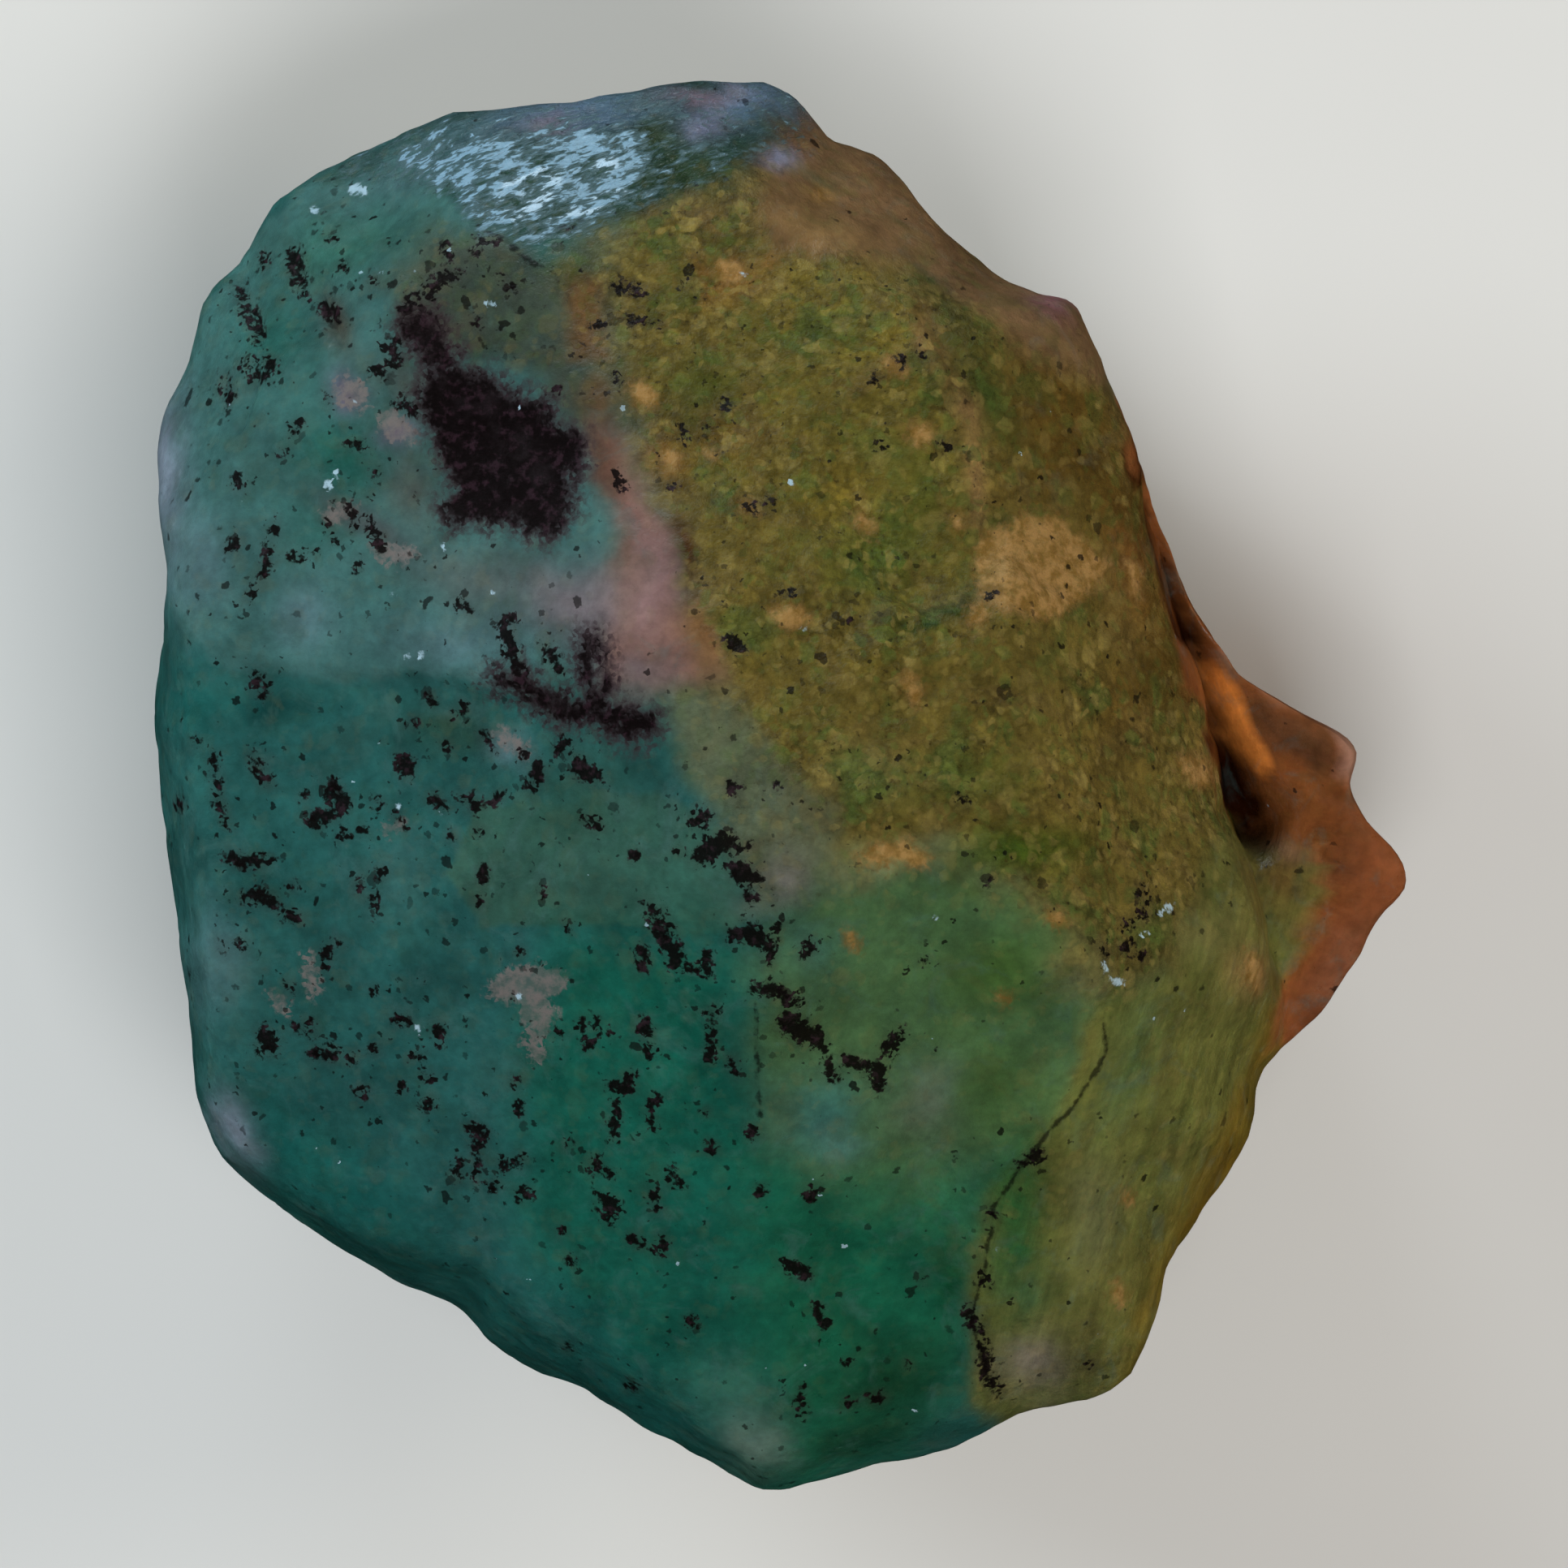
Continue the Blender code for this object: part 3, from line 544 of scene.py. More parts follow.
# The big mica patch, its lobe and the black band below it, as polygons in plan.
PATCH = [
    [
        (-11.18, 12.96), (-10.92, 13.43), (-10.01, 13.17), (-9.36, 12.96), (-8.63, 12.44),
        (-7.93, 12.18), (-7.23, 12.18), (-7.33, 11.66), (-6.97, 11.27), (-6.34, 11.09), (-6.34, 10.31),
        (-6.76, 9.79), (-6.71, 9.27), (-6.71, 8.54), (-7.02, 8.15), (-7.38, 7.89), (-7.93, 8.02),
        (-8.32, 8.28), (-9.23, 8.23), (-9.67, 8.41), (-10.4, 8.28), (-10.61, 8.93), (-10.14, 9.37),
        (-10.35, 9.84), (-10.66, 10.31), (-10.79, 10.93), (-10.84, 11.27), (-11.18, 11.45),
        (-11.34, 12.18),
    ],
    [
        (-11.88, 14.99), (-11.23, 15.14), (-10.76, 14.78), (-10.76, 14.26), (-10.27, 13.84),
        (-10.4, 13.17), (-10.92, 13.17), (-11.23, 13.69), (-11.83, 14), (-12.06, 14.57),
    ],
    [
        (-9.15, 3.29), (-8.89, 3.6), (-8.55, 3.55), (-8.19, 3.81), (-7.9, 3.42), (-7.51, 3.08),
        (-7.02, 3.03), (-6.58, 2.67), (-6.19, 2.87), (-6.34, 3.6), (-6.19, 4.64), (-6.03, 4.59),
        (-6.06, 3.08), (-5.8, 2.92), (-5.77, 4.38), (-6.03, 4.85), (-5.67, 4.64), (-5.51, 2.82),
        (-5.41, 2.46), (-4.81, 2.4), (-4.08, 2.22), (-4, 1.68), (-4.42, 1.57), (-4.89, 1.49),
        (-5.33, 1.78), (-5.67, 1.89), (-6.11, 2.17), (-6.58, 1.96), (-6.84, 2.09), (-7.12, 1.96),
        (-7.38, 2.35), (-7.64, 2.4), (-7.93, 2.77), (-8.29, 2.9), (-8.71, 3.19),
    ],
]

# Where the end face's glitter is painted as a highlight, as corners in plan, and the softness of its
# edge.
PAINTED_GLITTER = [
    (-12.22, 20.24), (-10.79, 20.89), (-8.32, 20.55), (-6.24, 21.02), (-4.99, 21.28), (-4.42, 20.76),
    (-4.11, 19.67), (-4.42, 18.79), (-5.07, 17.95), (-6.24, 17.64), (-7.28, 17.07), (-8.84, 17.38),
    (-10.4, 18.37), (-11.57, 19.25),
]
PAINTED_GLITTER_SOFTNESS = 0.7

# Marks of each kind, by their half width: one place for a dot, or more for a stroke. Their field
# is the depth inside the nearest one's edge, and no lower than -FAR_OUTSIDE outside.
FAR_OUTSIDE = 2.0
MARKS = {
    "mica": {
        0.08: [[(11.39, -3.03), (11.49, -3.68)], [(-8.79, 16.03)], [(-6.19, 16.29), (-6.34, 16.08)]],
        0.1: [
            [(-15.97, 8.41), (-16.12, 7.62), (-16.31, 6.93), (-16.96, 5.84)], [(-10.43, -1.49)],
            [(-7.54, -3.31)], [(-12.84, -6.38)], [(-12.9, -8.31)], [(-8.85, 16.02)],
            [(-9.8, 16.7), (-9.67, 17.07)], [(-12.12, 15.12), (-11.8, 15.2)],
            [(-9.78, 14.88), (-9.62, 14.52)], [(-12.19, 13.32)],
            [(-5.41, 15.95), (-4.73, 15.72), (-4.24, 15.66)], [(-4.84, 14.78), (-4.16, 14.68)],
            [(-5.82, 14.57), (-5.51, 14.47)], [(-2.99, 11.01)], [(-1.82, 12.05)], [(2.13, 5.21)],
            [(9.88, -18.42)], [(4.47, -5.55)], [(2.21, -18.24)], [(3.95, -18.29)], [(6.37, -3.03)],
            [(-9.36, 1.65), (-9.05, 1.13)], [(-7.02, 1.13), (-6.63, 1.39)], [(-6.11, 1.65)],
            [(-10.4, 2.3)], [(-11.57, 9.32)], [(-16.51, 6.46)]],
        0.12: [
            [(-10.23, 5.89), (-9.74, 5.64)], [(-8.27, -9.92), (-8.27, -10.39)], [(-9.46, -1.34)],
            [(-13.31, -3.11)], [(-12.84, -3.94)], [(-15.24, -4.25)], [(-17.58, -5.03)],
            [(-17.11, -5.03)], [(-11.75, -7.58)], [(-12.01, -9.55)], [(-5.3, -7.68)], [(-10.61, 1.26)],
            [(-2.44, -10.28)], [(-3.95, -13.35)], [(-13.89, 16.47)], [(-12.9, 16.02)], [(-9.74, 16.91)],
            [(-12.16, 13.25)], [(-12.95, 10.09)], [(-12.9, 9.15)], [(5.67, -0.48)], [(6.55, -2.9)],
            [(-7.02, -14.08)]],
        0.13: [
            [(-7.02, 3.6), (-7.49, 4.64)], [(-17.94, 1.05), (-17.78, -0.3), (-17.47, -1.23)],
            [(-15.5, -6.23), (-15.65, -6.54)], [(-15.44, -7.63), (-14.92, -7.47), (-14.77, -7.89)],
            [(-10.76, -7.53), (-10.87, -8.1)], [(-11.7, -8.57), (-11.34, -8.41)],
            [(-2.18, -6.96), (-2.18, -7.79), (-2.24, -8.62)],
            [(-3.48, -12.05), (-3.43, -12.47), (-3.12, -12.62)], [(-9.62, -11.74), (-9.67, -12.47)],
            [(0.65, -19.02), (0.52, -20.06)], [(1.04, -16.42), (1.25, -16.99)],
            [(-17.55, 7.52), (-17.15, 7.92)], [(-15.52, 7.37), (-14.78, 7.42)], [(-13.16, -1.39)],
            [(-9.46, -3.57)], [(-12.9, -3.52)], [(-15.34, -3.16)], [(-13.9, -4.93)], [(-6.76, -11.27)],
            [(-11.7, 2.09)], [(-7.85, 0.07)], [(-0.16, 0.07)], [(-0.1, -4.41)], [(-4.06, -8.31)],
            [(-5.41, -12.15)], [(-8.27, -11.69)], [(-15.08, 15.58)], [(-10.53, 16.96)],
            [(-9.44, 17.26)], [(-9, 17.11)], [(-9.79, 14.74)], [(-14.39, 12.25)], [(-15.82, 10.63)],
            [(-14.43, 8.31)], [(-14.19, 7.82)], [(-0.57, 9.01)], [(3.12, 10.75)], [(11.31, -5.29)],
            [(-6.6, -14.99)], [(-8.32, -9.4)], [(-4.81, -19.02)], [(-6.76, -17.72)], [(-2.86, -16.94)],
            [(-10.58, 17.07), (-10.4, 16.7)], [(-9.05, 17.17)], [(-10.14, 16.16)], [(-11.8, 15.54)],
            [(-3.85, 14.62)], [(-5.15, 12.91)], [(-7.02, 12.54)], [(-2.96, 15.87)], [(-6.76, 17.69)],
            [(-3.22, 11.45)], [(-2.39, 11.45)], [(-0.91, 11.97)], [(2.96, 12.96)], [(-3.22, 9.53)],
            [(6.71, 5.99)], [(0.31, 6.23)], [(6.66, -13.35), (6.6, -13.82)], [(4.5, -15.69)],
            [(2.65, -19.33), (3.25, -19.38)], [(2.03, -19.54)], [(17.52, -2.51), (17.68, -2.9)],
            [(-8.11, 1)], [(-10.01, 2.61)], [(-15.99, 8.28), (-16.12, 7.24)]],
        0.14: [
            [(-10.14, -0.3), (-9.72, -0.61), (-9.2, -0.51), (-8.89, -0.19)],
            [(-9.41, -2.59), (-9.52, -3.05)], [(1.98, -8.51), (2.5, -8.83), (3.02, -8.72)],
            [(-10.19, -11.89), (-10.24, -12.47)], [(-6.81, -4.35)], [(-8.27, -5.29)], [(-11.77, 15.53)],
            [(-0.91, 8.93)], [(4.42, 13.82)], [(5.15, 10.8)]],
        0.15: [[(6.37, -15.25), (6.55, -15.77)], [(6.55, -18.76), (6.97, -19.23)]],
        0.16: [
            [(-8.8, 5.1), (-8.4, 5.3)], [(-14.35, -5.13), (-14.46, -5.76)],
            [(-5.77, -7.37), (-5.82, -7.68)], [(-5.34, -10.02), (-5.41, -11.12)],
            [(-2.91, -5.76), (-2.34, -5.65)], [(3.02, -8.62), (3.43, -8.1), (3.74, -7.73)],
            [(-3.77, -14.34), (-3.85, -14.81)], [(-17.65, 12.96), (-17.45, 12.17)],
            [(-15.18, 11.57), (-15.47, 11.28)], [(-13.83, -1.55)], [(-11.91, -1.23)], [(-15.55, -4.04)],
            [(-12.12, -7.37)], [(-11.13, -9.14)], [(-4.68, -2.17)], [(-6.81, 1.36)], [(-11.08, 2.82)],
            [(-18.62, 1.42)], [(-3.22, -1.96)], [(-0.99, -1.86)], [(1.61, -9.14)], [(-2.24, -11.43)],
            [(-9.83, -10.85)], [(-14.29, 17.41)], [(-16.46, 16.71)], [(-8.5, 15.78)], [(-13.79, 10.78)],
            [(-13.4, 7.03)], [(10.19, -5.11)], [(-5.25, 9.89), (-4.99, 9.48)],
            [(10.79, -4.85), (10.92, -5.11)], [(5.88, -16.55), (6.19, -17.25)],
            [(6.24, -17.46), (6.55, -18.76)], [(-10.84, 16.03), (-10.4, 16)],
            [(-11.02, 15.66), (-11.41, 15.35)], [(-8.48, 15.72)], [(-12.97, 13.22), (-12.58, 13.01)],
            [(-11.75, 11.66), (-11.57, 11.87)], [(3.8, 13.48)], [(1.61, -9.14), (1.51, -8.62)],
            [(17.81, -3.89)]],
        0.17: [
            [(-16.74, 1), (-16.43, 0.43), (-16.17, 0.07)],
            [(-3.9, -9.76), (-4.16, -10.07), (-4.11, -10.7)],
            [(-17.05, 13.35), (-16.56, 13.45), (-16.02, 13.35), (-16.46, 12.91), (-16.91, 13.16)],
            [(-12.74, -0.51)], [(-12.22, -0.92)], [(-13.31, -9.66)]],
        0.18: [
            [(-7.7, 0.74), (-7.64, 0.27)], [(-17.58, -2.17), (-16.9, -2.38), (-16.17, -2.38)],
            [(-14.92, -8.51), (-14.3, -8.57)], [(-9.78, -10.85), (-9.52, -11.01), (-9.78, -11.63)],
            [(-5.46, -9.45), (-4.84, -9.45), (-4.75, -9.04)], [(-2.34, -5.29), (-2.34, -5.92)],
            [(-1.58, -8.62), (-1.5, -9.14)], [(-4.16, -12.73), (-3.85, -12.93)],
            [(-5.77, -11.74), (-5.93, -12.15)], [(-5.3, -13.04), (-5.41, -13.69)],
            [(-13.54, 8.86), (-13.5, 8.11)], [(-12.95, 8.31), (-12.56, 7.52)],
            [(-11.27, 15.73), (-10.92, 15.92), (-10.48, 16.17)], [(-15.13, -0.3)], [(-12.64, -2.74)],
            [(-11.18, -10.02)], [(-7.07, -7.73)], [(-6.29, -7.53)], [(-19.03, -0.51)], [(0.94, -12.83)],
            [(-8.74, -11.95)], [(-0.73, -12.78)], [(-12.75, 13.16)], [(-11.91, 12.22)], [(-1.61, 4.51)],
            [(10.87, -4.33)], [(7.54, -11.95), (8.19, -11.58)], [(-9.49, 17.3)],
            [(-12.64, 13.9), (-12.32, 13.69)], [(-12.17, 12.26), (-11.65, 12.1)], [(1.3, -16.94)]],
        0.19: [[(-13.59, -8.46), (-13.59, -8.74)]],
        0.21: [
            [(-8.06, 3.08), (-8.53, 4.38), (-8.79, 5.11)], [(-11.18, -0.4), (-10.61, -0.71)],
            [(-17.11, -3.63), (-16.38, -3.42), (-15.96, -3.78)], [(-14.25, -8.31), (-14.2, -8.67)],
            [(-2.76, -1.08), (-2.39, -0.77)], [(0.88, -4.93), (0.78, -5.39)],
            [(-0.99, -10.96), (-0.78, -11.01)], [(-9.05, -12.52), (-9.1, -12.83)],
            [(-4.73, -14.21), (-4.42, -14.49)], [(0.13, -15.12), (0.83, -15.43)],
            [(-17.15, 15.73), (-17.05, 15.23), (-16.66, 14.74), (-16.61, 14.24)],
            [(-17.15, 9.7), (-17.05, 9.4)], [(-6.08, -8.1)], [(-0.94, -3.57)], [(-13.25, 10.73)],
            [(-1.61, 4.59), (-1.35, 4.38)], [(11.44, -3.55), (11.34, -4.2)]],
        0.23: [
            [(-12.51, 13.83), (-12.11, 14.05)], [(-6.6, 0.84), (-6.19, 0.43), (-5.77, 0.33)],
            [(-6.08, -1.11), (-5.67, -1.29)], [(-4.37, -5.13), (-4.4, -5.76)],
            [(-5.82, -12.78), (-5.3, -13.4)], [(-15.52, 17.01), (-15.42, 16.32), (-15.18, 15.92)],
            [(-8.16, -12.83)]],
        0.25: [[(-0.73, -6.28), (-0.21, -6.43), (0.47, -6.85)], [(-1.46, -0.09)]],
        0.26: [
            [(-14.14, -0.04), (-13.94, -0.71), (-14.51, -0.97), (-14.82, -0.97)],
            [(-16.54, 3.44), (-16.38, 2.98)],
            [(-1.51, -4.67), (-1.04, -4.46), (-0.42, -4.98), (-0.36, -5.5)],
            [(3.02, -8.72), (3.02, -9.5)]],
        0.27: [
            [(-4.16, -3.73), (-3.74, -4.56), (-3.33, -5.08), (-3.33, -5.6)],
            [(-4.26, -7.42), (-4.26, -7.89)]],
        0.29: [[(-16.33, -7.79), (-16.17, -8.36)], [(-14.34, 15.13), (-14.19, 14.84)]],
        0.31: [[(-12.06, 0.84), (-11.86, 0.53)], [(-1.61, -2.53), (-1.2, -2.69), (-0.73, -3)]],
        0.34: [[(-2.65, -2.22), (-1.87, -1.7), (-1.46, -1.81)], [(0.05, -7.39), (1.3, -8.03)]],
    },
    "pale": {
        0.21: [[(-12.48, -1.34), (-11.96, -1.08)]],
        0.23: [[(-8.84, 1.65), (-8.06, 1)], [(-15.99, -6.54), (-15.81, -7.06)]],
        0.26: [[(-14.95, -5.5), (-14.69, -6.54)]],
        0.31: [[(-7.93, -7.71), (-7.8, -8.49)], [(17.68, -3.16), (18.07, -3.31)]],
        0.36: [[(-14.3, 8.54), (-13.52, 8.75)], [(-12.74, 7.5), (-11.83, 7.24)]],
        0.47: [[(-13.78, 12.83), (-13.39, 12.18)], [(-12.48, 11.53), (-11.83, 11.14)]],
        0.52: [[(-7.93, -6.41), (-7.59, -7.63)]],
        0.68: [[(-8.84, -6.41), (-7.28, -6.15)]],
    },
    "gold": {
        0.16: [[(6.81, -6.64), (7.07, -6.75)]],
        0.18: [[(16.07, -3.26), (16.43, -3.31)], [(-2.34, 10.62), (-2.08, 10.36)]],
        0.21: [
            [(10.87, -12.86), (10.97, -13.25)], [(10.56, -15.77), (10.74, -16.42)],
            [(2.08, -4.67), (2.34, -5.03)], [(1.04, 18.81), (1.56, 18.68)]],
        0.23: [[(-1.17, 9.01), (-0.91, 8.75)], [(5.46, 8.28), (5.59, 8.54)]],
        0.26: [
            [(2.47, 8.54), (2.86, 8.02)], [(-3.64, 10.62), (-3.38, 10.23)],
            [(6.03, 5.32), (6.37, 5.68)], [(8.45, -4.07), (8.97, -4.25)], [(-0.47, 16.6)]],
        0.31: [[(3.38, 13.48), (3.9, 13.22)], [(11.05, 6.98), (11.31, 6.2)]],
        0.36: [[(4.03, 3.47), (4.29, 2.77)], [(14.82, -5.37), (15.08, -6.28)]],
        0.39: [[(-4.55, 12.57), (-4.16, 12.18)], [(2.6, -2.25), (3.64, -1.99), (4.42, -2.38)]],
        0.42: [
            [(-1.95, 16.47), (-1.3, 16.08)], [(4.29, 11.14), (4.68, 10.93)],
            [(-0.13, 5.55), (0.65, 5.29)]],
        0.47: [[(12.74, 0.74), (13.47, 0.22)]],
        0.78: [[(6.86, 7.81), (6.86, 5.99)], [(9.57, 7.24), (9.67, 6.62)]],
        1.04: [[(7.23, 6.25), (9.2, 6.41)]],
        1.09: [[(7.28, 7.66), (9.1, 7.5)]],
    },
    # Glints are painted highlights: small bright spots of reflected light.
    "painted_glint": {
        0.07: [[(-11.65, 16.34)], [(0.26, 9.58)], [(-8.32, -6.67)], [(-9.1, 6.07)], [(0.73, 4.95)]],
        0.08: [
            [(-14.04, 9.97)], [(-11.41, 4.22)], [(11.34, -4.77), (11.54, -4.72)], [(-17.16, 8.9)],
            [(-12.69, 16.29)], [(-1.17, 16.08)], [(-11.91, 19.85), (-11.65, 19.82)], [(-12.3, 6.04)],
            [(6.76, -14.6)], [(-13.52, 12.18)], [(-10.71, 7.58)], [(-10.79, -0.9)], [(-12.09, -0.56)],
            [(4.89, -4.15)]],
        0.09: [[(-11.96, 4.07), (-11.83, 4.22)]],
        0.1: [
            [(-14.35, 9.5), (-14.04, 9.61)], [(-11.44, -7.68)], [(10.14, -5.55), (10.19, -5.81)],
            [(10.45, -6.12), (10.71, -6.23)]],
        0.12: [[(-9.28, 15.27), (-9.13, 15.25)]],
        0.13: [[(-14.95, 18.34), (-14.64, 18.32)], [(11.96, -4.02), (12.32, -3.81)]],
        0.16: [[(-13.62, 19.02), (-13.13, 18.94)]],
    },
    "hair": {
        0.05: [[(-11.96, 7.29), (-11.34, 7.27)]],
        0.07: [[(-0.88, -6.75), (-0.75, -8.62), (-0.78, -10.49)]],
        0.09: [[(-9.62, 17.69), (-8.79, 17.33), (-8.06, 16.65), (-6.97, 15.92), (-6.68, 15.3)]],
    },
}
MARK_EDGE_WAVES = [(0.9, 0.1)]

# The open crack in plan, with the half widths of its groove and of its dark line, and its depth.
# The line narrows over one part in CRACK_TAPER of its length at each end, to CRACK_END_GAP less
# than nothing, so that its torn edge ends there as well.
CRACK = [
    (10.19, -6.93), (10.19, -8.36), (9.41, -9.79), (8.01, -11.48), (6.71, -13.35), (6.4, -15.38),
    (5.98, -16.99), (6.45, -18.5), (6.92, -19.33),
]
CRACK_HALF_WIDTH = 0.32
CRACK_LINE_HALF_WIDTH = 0.07
CRACK_DEPTH = 0.14
CRACK_TAPER = 16
CRACK_END_GAP = 0.1

# ---- mesh ----
GRID_CELLS = 127
RAY_LIFT = 0.42

# The silhouette is measured in so many compass directions. Washes and the painted glitter highlight
# fade out over UPPER_FADE from RIM_MARGIN below its rim, both as a share of the ray's length.
COMPASS_BINS = 180
RIM_MARGIN = 0.03
UPPER_FADE = 0.1

# ---- stage, in metres ----
FLOOR_HALF_SIDE = 1.0
VIEW_CENTRE = (0.00009, 0.00006)
VIEW_HEIGHT = 0.0085


def lattice_noise(points, size, seed):
    """Smooth noise from -1 to 1: chance values at the corners of cubes of this size, blended
    with a quintic ease between the corners."""
    spot = points / size + seed * SEED_SHIFT
    corner = np.floor(spot).astype(np.int64)
    part = spot - corner
    blend = part**3 * (part * (6 * part - 15) + 10)
    total = np.zeros(len(points))
    for step in itertools.product((0, 1), repeat=3):
        cell = corner + step
        key = np.bitwise_xor.reduce(cell * CELL_PRIMES, axis=1)
        chance = ((key * 1103515245 + 12345) >> 8) % 65536 / 32767.5 - 1
        total += chance * np.where(step, blend, 1 - blend).prod(axis=1)
    return total


def ease(values, low, high):
    """0 below low, 1 above high, and a smooth cubic between them."""
    share = np.clip((values - low) / (high - low), 0, 1)
    return share * share * (3 - 2 * share)


def sphere_grid(cells):
    """Rays to the nodes of a box lattice, and its quads facing out. Each of the six sides is a
    grid of two parameters, in even steps of angle. The rays are then drawn upwards, so that the
    top, which has the most detail, has the closest mesh."""
    corners = []
    for axis, end in itertools.product(range(3), (0, 1)):
        first, second = (axis + 1) % 3, (axis + 2) % 3
        u, v = np.meshgrid(np.arange(cells), np.arange(cells), indexing="ij")
        quad = np.zeros((u.size, 4, 3), np.int64)
        quad[..., axis] = end * cells
        quad[..., first] = u.reshape(-1, 1) + np.array([0, 1, 1, 0])
        quad[..., second] = v.reshape(-1, 1) + np.array([0, 0, 1, 1])
        corners.append(quad if end else quad[:, ::-1])
    lattice = np.concatenate(corners)
    nodes, quads = np.unique(lattice.reshape(-1, 3), axis=0, return_inverse=True)
    rays = unit(np.tan((2 * nodes / cells - 1) * math.pi / 4))
    return crowd_rays(unit(rays + np.array([0, 0, RAY_LIFT]))), quads.reshape(-1, 4)


def crowd_rays(rays):
    """Draws rays together where they graze the shelf's top, so that it is as finely cut as the
    rest: each ray's rise nears the middle level by a share that falls off as a bell curve."""
    compass, rise, compass_reach, rise_reach = np.radians(CROWDING_DEG)
    angles = np.arctan2(rays[:, 1], rays[:, 0])
    offset = np.arcsin(np.clip(rays[:, 2], -1, 1)) - rise
    bell = np.exp(-(((angles - compass) / compass_reach) ** 2) - (offset / rise_reach) ** 2)
    level = rise + offset * (1 - CROWDING_PULL * bell)
    across = np.cos(level)
    return np.stack([across * np.cos(angles), across * np.sin(angles), np.sin(level)], 1)


def come_in(rays, gain_and_start):
    """How far something has come in over the stone's side, from 0 to 1."""
    gain, start = gain_and_start
    return np.clip(rays[:, 2] * gain + start, 0, 1)


def unit(vectors):
    """Each row, drawn out or in to a length of one."""
    return vectors / np.linalg.norm(vectors, axis=1)[:, None]


def face_normals(faces):
    """Unit outward normals of the faces, and their distances from the heart."""
    compass, tilt, reach = np.array(list(faces.values())).T
    compass, tilt = np.radians(compass), np.radians(tilt)
    across = np.sin(tilt)
    return np.stack([across * np.cos(compass), across * np.sin(compass), np.cos(tilt)], 1), reach


def gauge(rays, faces, sharpness):
    """One over the distance to the faces along each ray: a power mean over the faces, which
    rounds the edge between two of them the more, the lower the sharpness."""
    normals, reach = face_normals(faces)
    nearness = np.clip(rays @ normals.T / reach, 0, None)
    return (nearness**sharpness).sum(axis=1) ** (1 / sharpness)


def outline_reach(angles):
    """Distance from the heart to the outline, in plan, at each angle: the crossing of the ray
    with the outline's sides, averaged over a few degrees so that the corners are soft."""
    samples = np.radians(np.arange(0, 360, OUTLINE_STEP_DEG))
    corners = np.array(OUTLINE) - HEART[:2]
    sides = np.roll(corners, -1, axis=0) - corners
    ray = np.stack([np.cos(samples), np.sin(samples)], 1)[:, None]
    cross = ray[..., 0] * sides[:, 1] - ray[..., 1] * sides[:, 0]
    cross = np.where(abs(cross) < TINY, TINY, cross)
    along = (corners[:, 0] * sides[:, 1] - corners[:, 1] * sides[:, 0]) / cross
    share = (corners[:, 0] * ray[..., 1] - corners[:, 1] * ray[..., 0]) / cross
    hits = (along > 0) & (share >= -TINY) & (share <= 1 + TINY)
    reach = np.where(hits, along, 0).max(axis=1)
    turns = range(-OUTLINE_SPREAD, OUTLINE_SPREAD + 1)
    weights = [math.exp(-0.5 * (n * OUTLINE_STEP_DEG / OUTLINE_SOFTNESS_DEG) ** 2) for n in turns]
    soft = sum(w * np.roll(reach, n) for w, n in zip(weights, turns)) / sum(weights)
    return np.interp(angles, samples, soft, period=2 * math.pi)


def wall_gauge(rays, reach):
    """The outline as one more face: a wall that bellies out at the girdle's height."""
    angles = np.arctan2(rays[:, 1], rays[:, 0])
    limit = outline_reach(angles)
    girdle = GIRDLE_HEIGHT + GIRDLE_SWING * np.sin(angles - math.radians(GIRDLE_SWING_DEG))
    height = HEART[2] + rays[:, 2] * reach
    belly = np.clip(1 - 0.5 * ((height - girdle) / WALL_BELLY) ** 2, 0.4, 1)
    return np.hypot(rays[:, 0], rays[:, 1]) / (limit * belly)


def block_points(rays):
    """The stone's bare form: body and shelf joined, then cut by the wall, along each ray."""
    body = gauge(rays, BODY_FACES, EDGE_SHARPNESS)
    shelf = gauge(rays, SHELF_FACES, EDGE_SHARPNESS)
    join = SHELF_JOIN_SHARPNESS
    joined = (body**-join + shelf**-join) ** (-1 / join)
    cut = WALL_SHARPNESS
    reach = 1 / joined
    for _ in range(4):
        reach = (joined**cut + wall_gauge(rays, reach) ** cut) ** (-1 / cut)
    return HEART + rays * reach[:, None]


def path_distance(points, path):
    """Distance in plan from each point to a bent line, how far along it the nearest spot is
    (0 to 1), and whether the point lies on the line's right (-1) or left (+1)."""
    best = np.full(len(points), np.inf)
    along = np.zeros(len(points))
    hand = np.zeros(len(points))
    spans = len(path) - 1
    for n, (start, end) in enumerate(itertools.pairwise(np.array(path))):
        side = end - start
        offset = points[:, :2] - start
        share = np.clip(offset @ side / (side @ side), 0, 1)
        gap = np.linalg.norm(offset - share[:, None] * side, axis=1)
        turn = np.sign(side[0] * offset[:, 1] - side[1] * offset[:, 0])
        nearer = gap < best
        along = np.where(nearer, (n + share) / spans, along)
        hand = np.where(nearer, turn, hand)
        best = np.minimum(gap, best)
    return best, along, hand


def step_rise(points, path, drop, fade):
    """Drop of the surface on a step's right side, steep at the riser and fading with distance
    from it, and fading out towards the two ends of the riser."""
    gap, along, hand = path_distance(points, path)
    riser = 0.5 - 0.5 * np.tanh(hand * gap / RISER_WIDTH)
    ends = np.clip(np.minimum(along, 1 - along) * 6, 0, 1)
    return -drop * riser * np.exp(-((gap / fade) ** 2)) * ends


